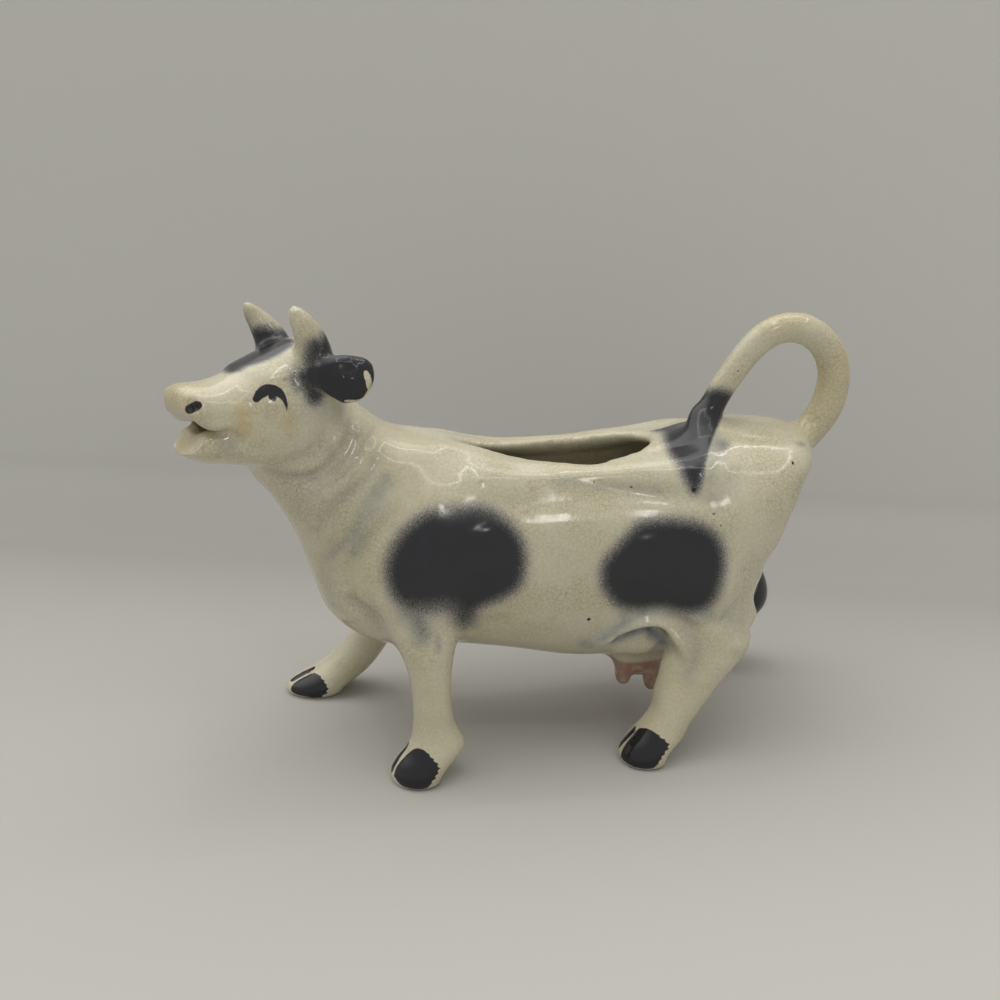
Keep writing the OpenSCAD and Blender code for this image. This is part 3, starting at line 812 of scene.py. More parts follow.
# where slip was added at a joint: in the head's frame or not, steps, share and boxes
slipFills = [
    (True, 60, 0.6, mirroredBoxes((17, 5, -21), (26.8, 14, -13.5), 1.5)),  # ends of the lips
    (True, 120, 0.6, mirroredBoxes((-9, 3, -11), (6, 17, 1), 2)  # horns
     + mirroredBoxes((-4, 9, -15), (5, 17, -2), 2)),  # ears
    (False, 240, 0.8, [((18, -27, 11.5), (43, 27, 36), 2.5)]),  # udder
    (False, 180, 0.8, [((60, -9, 74), (82, 9, 92), 2),  # root of the tail
                       ((-25, -34, 33), (-6, 34, 45), 2),  # behind the forelegs
                       ((33, -12, 78), (50, 6, 93), 2)])]  # strand on the back

blankPoints = readPoints(whole)
earGap = np.minimum(surfaceGap(blankPoints, "left_ear", 2),
                    surfaceGap(blankPoints, "right_ear", 2))
bagGap = np.minimum(surfaceGap(blankPoints, "teats", 4), surfaceGap(blankPoints, "udder", 4))
shortenTeats(whole)
nudgeCast(whole)
softenRim(whole)
points = readPoints(whole)
fillCreases(whole, casting["filletSteps"], casting["filletShare"], 1 - 0.75 * inHead(points))
head = toHead(points)
for inHeadFrame, steps, share, boxes in slipFills:
    mask = np.zeros(len(points))
    for low, high, edge in boxes:
        mask = np.maximum(mask, nearBox(head if inHeadFrame else points, low, high, edge))
    fillCreases(whole, steps, share, mask)
softenFlanks(whole)
modelCast(whole)
print("strokes modelled")


# hand painting, kept on the points

def insidePath(flat, path):
    # signed distance from a closed outline: above zero within it
    line = curveThrough(list(path) + [path[0]], 5)
    gap, _ = distanceTo(flat, line)
    inside = np.zeros(len(flat), bool)
    for a, b in zip(line[:-1], line[1:]):
        if a[1] == b[1]:
            continue
        inside ^= ((a[1] > flat[:, 1]) != (b[1] > flat[:, 1])) & (
            flat[:, 0] < (b[0] - a[0]) * (flat[:, 1] - a[1]) / (b[1] - a[1]) + a[0])
    return np.where(inside, gap, -gap)


def dabs(points, rows):
    # soft strokes in space: path, radius, fade and strength
    dense = np.zeros(len(points))
    for path, radius, fade, strength in rows:
        line = curveThrough(path, 4) if len(path) > 1 else np.array([path[0], path[0]], float)
        reach = radius + fade
        low, high = line.min(axis=0) - reach, line.max(axis=0) + reach
        near = np.where(((points > low) & (points < high)).all(axis=1))[0]
        gap, _ = distanceTo(points[near], line)
        dense[near] = np.maximum(dense[near], strength * (
            1 - smoothStep(radius - fade, radius + fade, gap)))
    return dense


def brushed(flat, rows):
    # a crisp stroke whose width changes along it: x, y and half width
    path = curveThrough(rows)
    best = np.full(len(flat), -9.0)
    for a, b in zip(path[:-1], path[1:]):
        ab = b[:2] - a[:2]
        t = np.clip(((flat - a[:2]) @ ab) / max(float(ab @ ab), 1e-9), 0, 1)
        wide = a[2] + t * (b[2] - a[2])
        gap = np.linalg.norm(flat - a[:2] - t[:, None] * ab, axis=1)
        best = np.maximum(best, wide - gap)
    return best


# an outline laid on a hoof: how far its plane is looked for, and how the brush ran dry
laidOn = {"reach": 14, "flatReach": 4, "deep": 6, "leastFacing": 0.05, "dry": 0.55,
          "dryFrom": (2, 4), "dryWaves": (2.3, 1.1)}


def decal(points, normals, outline):
    # signed distance from an outline laid flat on the surface round its own middle
    ring = np.array(outline, float)
    middle = ring.mean(axis=0)
    _, _, axes = np.linalg.svd(ring - middle)
    away = np.linalg.norm(points - middle, axis=1)
    near = np.where(away < laidOn["reach"])[0]
    up = normals[near][away[near] < laidOn["flatReach"]].mean(axis=0)
    across = axes[2] if axes[2] @ up > 0 else -axes[2]
    value = np.full(len(points), -9.0)
    flat = (points[near] - middle) @ axes[:2].T
    facing = (normals[near] @ across > laidOn["leastFacing"]) \
        & (np.abs((points[near] - middle) @ across) < laidOn["deep"])
    value[near] = np.where(facing, insidePath(flat, (ring - middle) @ axes[:2].T), -9)
    x, y, z = points[near].T
    upWave, outWave = laidOn["dryWaves"]
    value[near] -= laidOn["dry"] * smoothStep(*laidOn["dryFrom"], x - middle[0]) \
        * np.abs(np.sin(upWave * z + outWave * y))
    return value


nearSpots = [
    [(-19.5, 69.5), (-27, 69), (-32.5, 65), (-35.8, 59), (-36.2, 53.5), (-34.5, 47.5),
     (-30.5, 43.5), (-24.5, 44.5), (-21, 41.5), (-18, 41), (-15, 45.5), (-10, 48), (-6, 51),
     (-4.5, 56.5), (-5.5, 62), (-8.5, 66), (-13.5, 69)],
    [(33, 64), (26, 63.5), (20.5, 58.5), (17, 54), (17.5, 48.5), (21, 44), (26, 42.8),
     (32, 43), (38, 42), (42.5, 43.8), (44.5, 48.5), (45.5, 55), (43.5, 60.5), (39, 63.3)]]
farSpots = [
    [(-21, 71), (-29, 69), (-35, 63), (-36, 55), (-33, 47), (-27, 43), (-20, 44), (-14, 44),
     (-8, 48), (-4.5, 55), (-6, 63), (-12, 69)],
    [(33, 68), (25, 66), (19, 60), (17, 53), (20, 46), (27, 43), (34, 44), (41, 43), (46, 49),
     (47, 57), (44, 64), (39, 67)]]
# one black claw on each hoof, and a thin black line on the other claw
nearHindPatch = [(21.4, -27.3, 1.6), (22.8, -26.8, 4.8), (26.3, -26.6, 9.1), (29.1, -30, 10),
                 (33, -32.4, 7.5), (31.5, -33.3, 4.5), (28.3, -33.2, 1), (23.4, -30.7, 0.8)]
hoofPatches = [
    [(-37.5, -28.7, 2.6), (-36.3, -27.9, 5.3), (-32.4, -28.5, 9.6), (-29.8, -30.4, 10.2),
     (-26.3, -32.4, 7.2), (-26.7, -33, 4.2), (-29.9, -32.9, 0.8), (-35, -31, 0.8)],
    [(-55.9, 22.9, 6.6), (-53.8, 20.6, 6.3), (-52, 18.5, 3.4), (-54.5, 18.3, 0.9),
     (-60, 20.5, 0.8), (-62.7, 22.4, 1.5), (-61.9, 23.3, 3.5), (-58.8, 23.6, 5.3)],
    nearHindPatch, farHind(nearHindPatch)]
lash = [(15.3, -11.3, 0.75), (14.1, -10.3, 1.0), (12.7, -9.6, 1.15), (11.3, -9.8, 1.3),
        (10.2, -10.5, 1.05), (9.6, -11.7, 0.65), (9.3, -13.1, 0.4), (9.2, -14.6, 0.15)]
lashDrop = [(12.0, -11.2, 0.75), (11.7, -11.6, 0.6)]
nearHindClaw = [(21.9, -24.4, 3.3), (23.3, -24.9, 5.7), (25.4, -24.8, 8.2)]
clawStrokes = [[(-37.9, -26.1, 2.8), (-36.8, -25.8, 4.9), (-35.2, -25.2, 6.9), (-33.4, -25, 9)],
               nearHindClaw, farHind(nearHindClaw),
               [(-62.2, 25.2, 3.8), (-59.1, 25.4, 5.5), (-56.3, 25, 6.9)]]
# black specks on the near side: along, up and radius
specks = [(-34, 86.5, 0.45), (13, 39.5, 0.55), (39.2, 72, 0.6), (43.8, 66.5, 0.45),
          (45.5, 63.5, 0.35), (66, 76.5, 0.4), (15, 74, 0.4), (24, 72.5, 0.45), (2, 60, 0.35)]
nostrilLine = [(29.7, 6.6, -11.8), (29, 7.4, -11.4), (28.4, 8.2, -11)]

# airbrushed black beside the spots, in the cow's frame
bodySpray = [
    ([(-20.5, -23, 44), (-18.8, -22.5, 40.5)], 1.5, 2.0, 0.8),
    ([(76, 22, 34), (79, 22, 27), (77, 22, 20)], 8.5, 2.5, 1.0),
    ([(69, -12, 79), (73, -11, 80), (76, -6, 82)], 1.0, 1.6, 0.4),
    ([(-31, -26, 48), (-29, -27.5, 40.5)], 2.6, 3.4, 0.42),
    # this stroke is airbrushed black that also darkens the crease under the flank fold as painted
    # shade
    ([(24.5, -19, 34), (28, -20.5, 35.6), (33, -21.5, 34.2)], 1.2, 2.6, 0.6),
    ([(45.5, -16.5, 76.5), (49.5, -12.5, 79.5)], 1.4, 3.0, 0.62)]
tuftOutline = [(37, 80.5), (36.6, 76), (37, 72), (38.6, 69), (40.3, 65), (42.2, 62.2),
               (43.3, 62.8), (44.2, 66), (45.3, 70), (47.2, 74.3), (51, 81), (54.5, 86.5),
               (51, 88.5), (46, 88.5), (42, 88), (38.5, 86)]
# in the head's frame: forward, sideways, up
headSpray = [
    ([(12.2, -0.6, -4.6), (8.5, 0.9, -3.6), (4.5, 0.9, -2)], 4.7, 2.2, 1.0),
    ([(12, -5, -5), (7, -6.5, -4), (2, -6, -3)], 4.2, 2.2, 1.0),
    ([(5, -8, -3), (0, -8.5, -3.5), (-5, -9, -5)], 4.8, 2.4, 1.0),
    ([(1, -10, -3), (1.2, -10.6, -1.2)], 4.0, 2.2, 1.0),
    ([(4.6, -11, 1.5), (5, -12, 4.5)], 1.1, 2.0, 0.55),
    ([(-3.5, 12.5, -3), (-3, 15, -6)], 4.8, 3.2, 1.0),
    ([(1.4, 14.6, -7.6), (-1, 16, -9)], 3.2, 2.2, 1.0),
    ([(-5.5, 11.5, 1), (-4.5, 11, 4)], 2.2, 2.6, 0.7),
    ([(0.3, 13.6, -1.5), (1, 13, -5)], 2.6, 2.8, 0.85),
    ([(3.2, 12.8, -8), (1.8, 13.2, -12)], 2.2, 3.2, 1.0),
    ([(5, 12, -5), (6.2, 12.2, -8), (5.6, 12.8, -10)], 1.4, 2.4, 0.55),
    ([(8.1, 11.8, -7.7)], 0.5, 0.9, 0.6),
    ([(-3.5, -12.5, -3), (-3.5, -14.5, -5), (1.5, -13, -9)], 4.0, 3.0, 1.0)]
# the black of the ear is worn off here
earBare = [([(-8.4, 20.8, -7.6), (-8.8, 20.9, -10.8)], 0.75, 0.3, 2.0),
           ([(-9, 20.5, -12), (-7.4, 19.3, -14.4), (-3.4, 18.5, -14.2)], 0.5, 0.9, 1.3)]
# painted shade: grey behind and under the jaw and in the corners of the mouth
headPaintedShade = [
    ([(-4.5, 12.5, -17), (-5.5, 11, -22), (-1, 13.5, -28.5)], 2.2, 2.4, 0.35),
    ([(24, 6.5, -20.5), (21.5, 8, -21.5)], 1.4, 1.6, 0.6),
    ([(12, 4, -30), (6, 8, -31.6), (1, 12, -30.8)], 1.3, 2.0, 0.4),
    ([(5, 12.5, -15), (0, 13.5, -16)], 3.0, 3.0, 0.25)]
headHoney = [
    ([(30, 0, -9), (32, 0, -13)], 7.5, 5.0, 0.5), ([(29, -2, -22), (26, 4, -21)], 3.0, 3.0, 0.8),
    ([(28, 5, -15.5), (23, 7.5, -17)], 1.6, 1.6, 0.5),
    ([(19, 10.7, -14), (19, 10.1, -18.3)], 1.6, 1.8, 0.95),
    ([(8.8, 13.3, -17.6)], 2.0, 2.0, 0.7), ([(8.6, 13.2, -20.5)], 1.2, 1.5, 0.5),
    ([(4, -13, 14), (6, -14, 18)], 4.5, 3, 0.7), ([(-4, 10.5, 9), (-6, 10.5, 17)], 4, 3, 0.7)]
bodyHoney = [([(80, 0, 92), (86, 0, 104), (78, 0, 118), (66, 0, 112)], 7, 4, 0.55),
             ([(78, 0, 88), (74, 0, 84)], 8, 4, 0.4)]
# painted shade: grey in the creases beside the tuft of the tail and by the forelegs
bodyPaintedShade = [
    ([(43.5, -19, 74), (44.8, -14, 78), (48.5, -11, 81)], 2.2, 3.0, 0.8),
    ([(44, -22, 70), (50, -19, 74)], 2.5, 3.0, 0.35),
    ([(-25.5, -27, 39.3), (-25.4, -27, 36.2)], 0.9, 0.7, 0.6),
    ([(-16.3, -22.5, 41.5), (-15.5, -22, 39.5)], 1.2, 1.2, 0.5),
    ([(-32.5, -26.5, 45), (-30.5, -27.5, 40)], 2.5, 2.5, 0.45)]
# painted shade: grey laid in the folds, creases and hollows, as seen from the side: path, radius
# and strength
sidePaintedShade = [([(-48, 84), (-52, 74), (-49, 64)], 7.5, 0.13), (foldA, 1.2, 0.3),
            (foldB, 1.0, 0.25), (foldC, 1.5, 0.3), (foldD, 1.6, 0.45),
            ([(-36.5, 77), (-39.5, 71.5), (-42, 68), (-45, 60)], 2.2, 0.5),
            (shoulderEdge[4:], 1.8, 0.3), ([(-50, 62), (-51.5, 52), (-49.5, 44)], 2.0, 0.25),
            ([(13, 31), (19, 35), (24, 39), (28, 41)], 1.5, 0.7),
            ([(21, 32), (25.5, 34.6), (29.5, 34.6), (33, 31)], 2.0, 1.0),
            ([(22, 39.5), (27, 40.8), (34, 40), (40, 38)], 1.5, 0.5),
            ([(37, 36), (40, 31), (38, 24)], 2.0, 0.35), ([(40, 42), (43, 40)], 2.2, 0.5),
            ([(48, 40), (52, 36)], 2.6, 0.35), ([(5, 74.5), (20, 72.5), (30, 71.5)], 1.6, 0.3)]


# the airbrush: soft edge of the spots, thinner low on the front spot, and the zone of the head
airbrush = {"facing": (0.0, 0.25), "middle": 5, "spotEdge": (-5.4, 3.4), "headLow": -36,
            "cornerUp": (43, 55), "cornerAhead": (-25, -16), "cornerThin": 0.5,
            "lowUp": (44, 52), "lowThin": 0.15}
# the black of the tuft: its zone, and how misty its edge is, more so at its front and ends
tuftPaint = {"low": (28, -26, 64), "high": (62, 6, 200), "facing": (0, -0.3, 0.95),
             "leastFacing": -0.6, "mist": 0.8, "frontMist": 2.6, "front": (38, 45),
             "topMist": 2.4, "top": (82, 91), "tipMist": 1.0, "tip": (66, 74)}
enamelPaint = {"claw": 0.85, "nostril": 1.1, "ear": 0.8, "earMost": 1.2, "bareGain": 1.2,
               "earRoot": (13.2, 16.8), "rootFade": 2.4, "speckReach": 3, "faceOut": 3}
# pink on udder and teats: how far from their solids, and its upper edge, higher in front
blush = {"gap": (1.6, 2.6), "top": 20.4, "edge": 0.5, "frontRise": 4.5, "frontAt": 20,
         "frontHalf": 3, "box": ((15, -13.5, 3), (42.5, 13.5, 26), 1.5)}


def sprayCast(points, normals, head, near, far, inner):
    flat = sideView(points)
    x, y, z = points.T
    spray = np.zeros(len(points))
    for mask, outlines in ((near, nearSpots), (far, farSpots)):
        for outline in outlines:
            spray = np.maximum(spray, mask * smoothStep(*airbrush["spotEdge"],
                                                        insidePath(flat, outline)))
    corner = (1 - smoothStep(*airbrush["cornerUp"], z)) \
        * (1 - smoothStep(*airbrush["cornerAhead"], x))
    low = (1 - smoothStep(*airbrush["lowUp"], z)) * (x < 0)
    spray *= 1 - airbrush["cornerThin"] * corner - airbrush["lowThin"] * low
    spray = np.maximum(spray, dabs(points, bodySpray))
    tuft = insidePath(obliqueView(points), tuftOutline)
    onTuft = ((points > tuftPaint["low"]) & (points < tuftPaint["high"])).all(axis=1) \
        & (normals @ tuftPaint["facing"] > tuftPaint["leastFacing"])
    misty = tuftPaint["mist"] + tuftPaint["frontMist"] * (1 - smoothStep(*tuftPaint["front"], x)) \
        + tuftPaint["topMist"] * smoothStep(*tuftPaint["top"], z) \
        + tuftPaint["tipMist"] * (1 - smoothStep(*tuftPaint["tip"], z))
    spray = np.maximum(spray, np.where(onTuft, smoothStep(-misty, misty, tuft), 0))
    return np.maximum(spray, dabs(head, headSpray) * inner)


def paintCast(whole):
    points, normals = readPoints(whole), readNormals(whole)
    flat, head = sideView(points), toHead(points)
    x, y, z = points.T
    near = smoothStep(*airbrush["facing"], -normals[:, 1]) * (y < -airbrush["middle"])
    far = smoothStep(*airbrush["facing"], normals[:, 1]) * (y > airbrush["middle"])
    inner = head[:, 2] > airbrush["headLow"]
    spray = sprayCast(points, normals, head, near, far, inner)

    # painted shade: grey laid in the folds, creases and corners, kept on the points like the paint
    paintedShade = np.maximum(dabs(points, bodyPaintedShade), dabs(head, headPaintedShade) * inner)
    for mask in (near, far):
        for path, radius, strength in sidePaintedShade:
            gap, _ = distanceTo(flat, curveThrough(path, 4))
            paintedShade = np.maximum(paintedShade, mask * strength * np.exp(-(gap / radius) ** 2))
    honey = np.maximum(dabs(head, headHoney) * inner, dabs(points, bodyHoney))

    enamel = np.full(len(points), -9.0)
    for outline in hoofPatches:
        enamel = np.maximum(enamel, decal(points, normals, outline))
    for path in clawStrokes:
        gap, _ = distanceTo(points, curveThrough(path))
        enamel = np.maximum(enamel, enamelPaint["claw"] - gap)
    for along, up, radius in specks:
        gap = np.linalg.norm(flat - (along, up), axis=1)
        enamel = np.where((near > 0.1) & (gap < enamelPaint["speckReach"]),
                          np.maximum(enamel, radius - gap), enamel)
    for side in (-1, 1):
        facing = (side * head[:, 1] > enamelPaint["faceOut"]) & inner \
            & (side * (normals @ headSide) > 0.1)
        drawn = np.maximum(brushed(head[:, [0, 2]], lash), brushed(head[:, [0, 2]], lashDrop))
        enamel = np.maximum(enamel, np.where(facing, drawn, -9))
        pit = np.array(nostrilLine) * (1, side, 1)
        gap, _ = distanceTo(head, pit)
        enamel = np.maximum(enamel, enamelPaint["nostril"] - gap)
    root = 1 - smoothStep(*enamelPaint["earRoot"], np.abs(head[:, 1]))
    enamel = np.maximum(enamel, np.clip(enamelPaint["ear"] - earGap, -3, enamelPaint["earMost"])
                        - enamelPaint["bareGain"] * dabs(head, earBare)
                        - enamelPaint["rootFade"] * root)
    above = z - blush["top"] - blush["frontRise"] * np.exp(
        -((x - blush["frontAt"]) / blush["frontHalf"]) ** 2)
    pink = (1 - smoothStep(*blush["gap"], bagGap)) * nearBox(points, *blush["box"]) \
        * (1 - smoothStep(-blush["edge"], blush["edge"], above))
    for label, values in (("spray", spray), ("paintedShade", paintedShade), ("honey", honey),
                          ("enamel", np.clip(enamel, -3, 3)), ("pink", pink)):
        writeLayer(whole, label, values)


paintCast(whole)
print("paint laid on")


# glaze

tones = {  # linear colours
    "cream": (0.575, 0.545, 0.41), "warm": (0.52, 0.475, 0.325), "honey": (0.50, 0.40, 0.19),
    # the blue-grey at the end of the next line is painted shade for folds and creases
    "black": (0.014, 0.015, 0.019), "fringe": (0.12, 0.125, 0.145), "paintedShade": (0.17, 0.195, 0.21),
    "enamel": (0.010, 0.010, 0.014), "pink": (0.36, 0.20, 0.165), "craze": (0.24, 0.21, 0.14)}
# cells in mm; crazes are cell, width of a crack as a share of it, and strength
grain = {"mist": 3700, "mistShare": 1.05, "mistGain": 3.3, "wander": 1.6,
         "crazes": [(1.15, 0.11, 0.42), (2.7, 0.03, 0.16)], "crazeLegs": 0.35,
         "legsUp": (0.02, 0.045), "mottle": 0.16, "speckCell": 7.0, "speckSize": 0.035,
         "rag": 0.35, "gloss": (0.09, 0.17), "sprayMatt": 0.07, "wave": 0.14,
         "waveDeep": 0.0006}


def glaze(name):
    mat = bpy.data.materials.new(name)
    mat.use_nodes = True
    tree = mat.node_tree
    shader = tree.nodes["Principled BSDF"]

    def node(kind, **sets):
        n = tree.nodes.new("ShaderNode" + kind)
        for key, value in sets.items():
            setattr(n, key, value)
        return n

    def join(value, slot):
        if isinstance(value, tuple):
            slot.default_value = (*value, 1) if len(slot.default_value) == 4 else value
        elif isinstance(value, (int, float)):
            slot.default_value = value
        elif value is not None:
            tree.links.new(value, slot)

    def layer(label):
        return node("Attribute", attribute_name=label).outputs["Fac"]

    def maths(op, a, b=None):
        n = node("Math", operation=op)
        join(a, n.inputs[0])
        join(b, n.inputs[1])
        return n.outputs[0]

    def ramp(value, low, high, outLow=0.0, outHigh=1.0):
        n = node("MapRange", interpolation_type="SMOOTHSTEP")
        for slot, v in zip(n.inputs, (value, low, high, outLow, outHigh)):
            join(v, slot)
        return n.outputs[0]

    def mixed(share, a, b):
        n = node("Mix", data_type="RGBA")
        for slot, value in ((n.inputs[0], share), (n.inputs[6], a), (n.inputs[7], b)):
            join(value, slot)
        return n.outputs[2]

    place = node("TexCoord").outputs["Object"]

    def noise(scale, detail=3.0, rough=0.55, at=place):
        n = node("TexNoise")
        for label, value in (("Vector", at), ("Scale", scale), ("Detail", detail),
                             ("Roughness", rough)):
            join(value, n.inputs[label])
        return n

    def cells(scale, feature, at=place):
        n = node("TexVoronoi", feature=feature)
        join(at, n.inputs["Vector"])
        join(scale, n.inputs["Scale"])
        return n

    def pushed(amount, scale):
        # the place, shifted a little by noise, so that lines wander
        shift = node("VectorMath", operation="SUBTRACT")
        join(noise(scale, 2).outputs["Color"], shift.inputs[0])
        shift.inputs[1].default_value = (0.5, 0.5, 0.5)
        far = node("VectorMath", operation="SCALE")
        join(shift.outputs[0], far.inputs[0])
        far.inputs["Scale"].default_value = amount / 1000
        total = node("VectorMath", operation="ADD")
        join(place, total.inputs[0])
        join(far.outputs[0], total.inputs[1])
        return total.outputs[0]

    # body glaze: two creams in clouds, and honey where it pooled
    ware = mixed(ramp(noise(45, 4).outputs["Fac"], 0.35, 0.7), tones["cream"], tones["warm"])
    ware = mixed(maths("MULTIPLY", layer("honey"), 0.8), ware, tones["honey"])
    ware = mixed(layer("pink"), ware, mixed(ramp(noise(400, 2).outputs["Fac"], 0.4, 0.9),
                                            tones["pink"], tones["warm"]))
    # crazing: a fine net of cracks that comes and goes
    wander = pushed(grain["wander"], 320)
    coming = ramp(noise(90, 2).outputs["Fac"], 0.36, 0.62, 0.3, 1.0)
    height = node("SeparateXYZ")
    join(place, height.inputs[0])
    fading = ramp(height.outputs["Z"], *grain["legsUp"], grain["crazeLegs"], 1.0)
    coming = maths("MULTIPLY", coming, fading)
    for size, wide, share in grain["crazes"]:
        net = cells(1000 / size, "DISTANCE_TO_EDGE", wander)
        line = ramp(net.outputs["Distance"], 0.0, wide, share, 0.0)
        ware = mixed(maths("MULTIPLY", line, coming), ware, tones["craze"])
    mottle = ramp(noise(1400, 2).outputs["Fac"], 0.3, 0.7, 0.0, grain["mottle"])
    ware = mixed(mottle, ware, tones["craze"])
    # painted shade in the folds and creases, clouded, then the airbrushed black with a misty edge
    cloudy = ramp(noise(260, 3, 0.6).outputs["Fac"], 0.3, 0.7, 0.6, 1.1)
    ware = mixed(maths("MULTIPLY", layer("paintedShade"), cloudy), ware, tones["paintedShade"])
    mist = maths("MULTIPLY", maths("SUBTRACT", noise(grain["mist"], 2, 0.75).outputs["Fac"],
                                   0.5), grain["mistShare"])
    sprayed = layer("spray")
    body = maths("MULTIPLY", sprayed, maths("SUBTRACT", 1.1, sprayed))
    dense = maths("ADD", sprayed, maths("MULTIPLY", mist,
                                        maths("MULTIPLY", body, grain["mistGain"])))
    ware = mixed(maths("MULTIPLY", ramp(dense, 0.03, 0.55), 0.7), ware, tones["fringe"])
    ware = mixed(ramp(dense, 0.25, 0.85), ware, tones["black"])
    # stray specks of black
    dots = cells(1000 / grain["speckCell"], "F1", pushed(3.0, 90))
    tint = node("SeparateColor")
    join(dots.outputs["Color"], tint.inputs[0])
    size = maths("MULTIPLY", ramp(tint.outputs[0], 0.35, 1.0), grain["speckSize"])
    speck = maths("LESS_THAN", dots.outputs["Distance"], size)
    ware = mixed(maths("MULTIPLY", speck, 0.85), ware, tones["black"])
    # crisp enamel: lash, nostrils, hooves and ears, with a slightly ragged edge
    rag = maths("MULTIPLY", maths("SUBTRACT", noise(900, 3, 0.7).outputs["Fac"], 0.5),
                grain["rag"])
    ware = mixed(ramp(maths("ADD", layer("enamel"), rag), -0.10, 0.12), ware, tones["enamel"])
    join(ware, shader.inputs["Base Color"])
    shine = ramp(noise(120, 3).outputs["Fac"], 0.3, 0.7, *grain["gloss"])
    matt = maths("MULTIPLY", ramp(dense, 0.25, 0.85), grain["sprayMatt"])
    join(maths("ADD", shine, matt), shader.inputs["Roughness"])
    shader.inputs["IOR"].default_value = 1.5
    # the glaze lies in faint waves
    wave = node("Bump")
    wave.inputs["Strength"].default_value = grain["wave"]
    wave.inputs["Distance"].default_value = grain["waveDeep"]
    join(noise(160, 2).outputs["Fac"], wave.inputs["Height"])
    join(wave.outputs[0], shader.inputs["Normal"])
    return mat


glazes = {"cream_glaze": glaze("creamGlaze"), "black_glaze": glaze("blackGlaze"),
          "pink_glaze": glaze("pinkGlaze")}


# taken apart into its named pieces

# the wall inside the trunk: its middle line's height, its reach, and the faces kept
hollow = {"middle": 52.0, "from": -36.0, "to": 64.0, "below": 71.0, "inward": -0.3,
          "keep": 0.18}


def slotOf(name):
    if name.endswith("_ear"):
        return "black_glaze"
    return "pink_glaze" if name == "teats" else "cream_glaze"


def keepNormals(whole):
    mesh = whole.data
    flat = np.empty(len(mesh.vertices) * 3, np.float32)
    mesh.vertex_normals.foreach_get("vector", flat)
    layer = mesh.attributes.new("castNormal", "FLOAT_VECTOR", "POINT")
    layer.data.foreach_set("vector", flat)


def keptNormals(obj):
    flat = np.empty(len(obj.data.vertices) * 3, np.float32)
    obj.data.attributes["castNormal"].data.foreach_get("vector", flat)
    return flat.reshape(-1, 3)


def openEdges(obj):
    pick(obj)
    bpy.ops.object.mode_set(mode="EDIT")
    bpy.ops.mesh.select_mode(type="EDGE")
    bpy.ops.mesh.select_all(action="DESELECT")
    bpy.ops.mesh.select_non_manifold(use_wire=False, use_multi_face=False,
                                     use_non_contiguous=False, use_verts=False)


def tuckIn(obj):
    # the open rim is drawn on into the wall, so that what closes it stays below the glaze
    openEdges(obj)
    bpy.ops.mesh.extrude_edges_move(TRANSFORM_OT_translate={"value": (0, 0, 0)})
    bpy.ops.object.mode_set(mode="OBJECT")
    points = readPoints(obj)
    rim = np.empty(len(points), bool)
    obj.data.vertices.foreach_get("select", rim)
    writePoints(obj, points - casting["tuck"] * rim[:, None] * keptNormals(obj))


def closeHoles(obj, bridge=False):
    tuckIn(obj)
    openEdges(obj)
    if bridge:
        bpy.ops.mesh.bridge_edge_loops()
    else:
        bpy.ops.mesh.fill_holes(sides=0)
        openEdges(obj)
        bpy.ops.object.mode_set(mode="OBJECT")
        left = any(edge.select for edge in obj.data.edges)
        bpy.ops.object.mode_set(mode="EDIT")
        if left:
            bpy.ops.mesh.edge_face_add()
    bpy.ops.object.mode_set(mode="OBJECT")


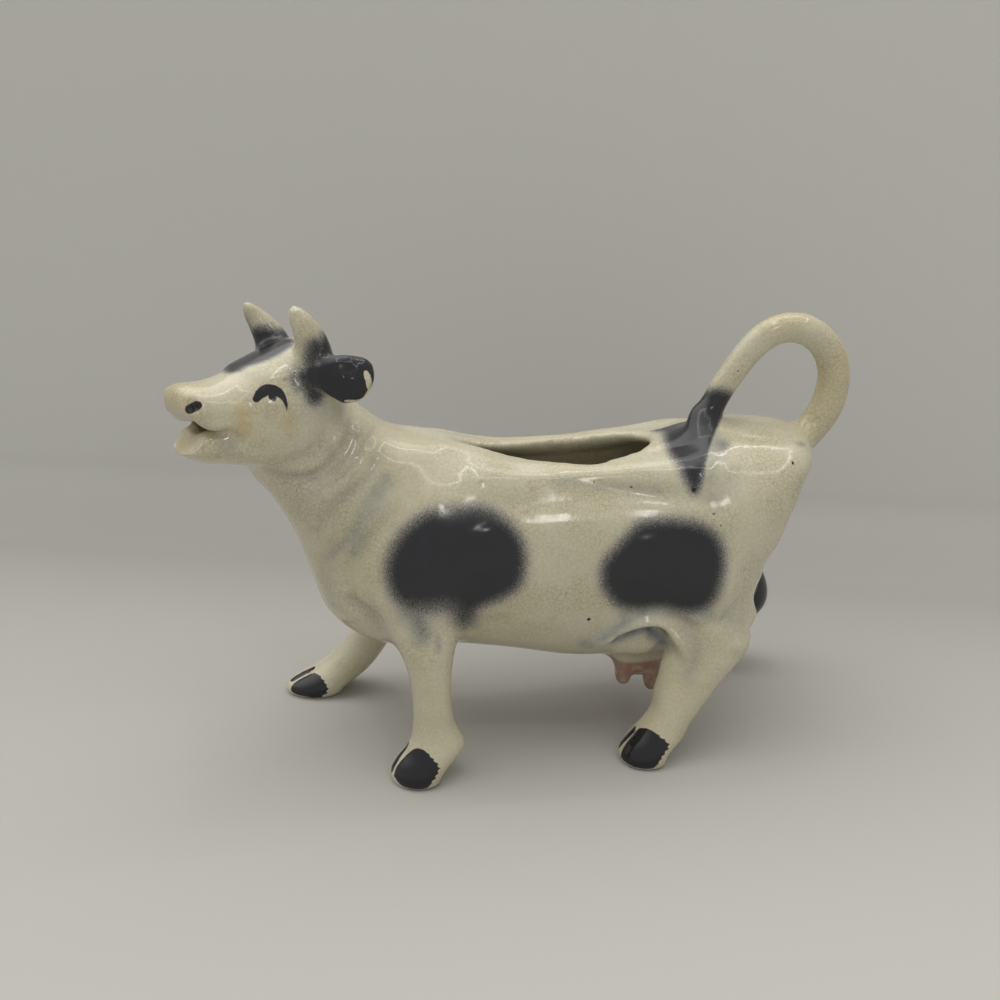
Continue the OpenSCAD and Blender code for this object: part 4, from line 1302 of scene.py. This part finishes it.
def takeOff(source, names):
    # separates the faces of one part or group, and closes the joint on both sides
    pick(source)
    selectNone("FACE")
    mesh = source.data
    mark = np.empty(len(mesh.vertices), np.float32)
    mesh.attributes["partOf"].data.foreach_get("value", mark)
    mine = np.isin(mark.round().astype(int), [partNames.index(n) for n in names])
    corners = np.empty(len(mesh.loops), np.int32)
    mesh.loops.foreach_get("vertex_index", corners)
    starts = np.empty(len(mesh.polygons), np.int32)
    mesh.polygons.foreach_get("loop_start", starts)
    share = np.add.reduceat(mine[corners].astype(float), starts)
    total = np.add.reduceat(np.ones(len(corners)), starts)
    mesh.polygons.foreach_set("select", (share / total > 0.5) & (total < 12))
    bpy.ops.object.mode_set(mode="EDIT")
    bpy.ops.mesh.separate(type="SELECTED")
    bpy.ops.object.mode_set(mode="OBJECT")
    part = [o for o in bpy.context.selected_objects if o != source][0]
    for obj in (part, source):
        closeHoles(obj, bridge="head_shell" in names)
    return part


def thinHollow(trunk):
    # the wall inside the trunk hardly shows, so its faces are made larger
    points, normals = readPoints(trunk), readNormals(trunk)
    x, y, z = points.T
    out = np.stack([np.zeros(len(points)), y, z - hollow["middle"]], axis=1)
    inward = (out * normals).sum(axis=1) < hollow["inward"] * np.linalg.norm(out, axis=1)
    inward &= (x > hollow["from"]) & (x < hollow["to"]) & (z < hollow["below"])
    pick(trunk)
    selectNone("FACE")
    faces = trunk.data.polygons
    faces.foreach_set("select", [bool(all(inward[v] for v in f.vertices)) for f in faces])
    bpy.ops.object.mode_set(mode="EDIT")
    bpy.ops.mesh.decimate(ratio=hollow["keep"])
    bpy.ops.object.mode_set(mode="OBJECT")


def finishPart(part, name):
    part.name = part.data.name = "cast_" + name
    mesh = part.data
    mesh.shade_smooth()
    mesh.normals_split_custom_set_from_vertices(keptNormals(part).tolist())
    for label in ("castNormal", "partOf"):
        mesh.attributes.remove(mesh.attributes[label])
    mesh.materials.clear()
    mesh.materials.append(glazes[slotOf(name)])


writeLayer(whole, "partOf", owner)
keepNormals(whole)
pieces = {"body_shell": whole}
pieces["head_shell"] = takeOff(whole, ["head_shell", "left_horn", "right_horn",
                                       "left_ear", "right_ear"])
pieces["udder"] = takeOff(whole, ["udder", "teats"])
pieces["teats"] = takeOff(pieces["udder"], ["teats"])
for name in smallParts:
    if name not in pieces:
        onHead = name.endswith("_horn") or name.endswith("_ear")
        pieces[name] = takeOff(pieces["head_shell"] if onHead else whole, [name])
thinHollow(pieces["body_shell"])
for name, part in pieces.items():
    finishPart(part, name)
    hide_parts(name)
    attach(part, "root")
    print("piece", part.name, len(part.data.vertices), "points")

bpy.context.scene.view_settings.view_transform = "Standard"
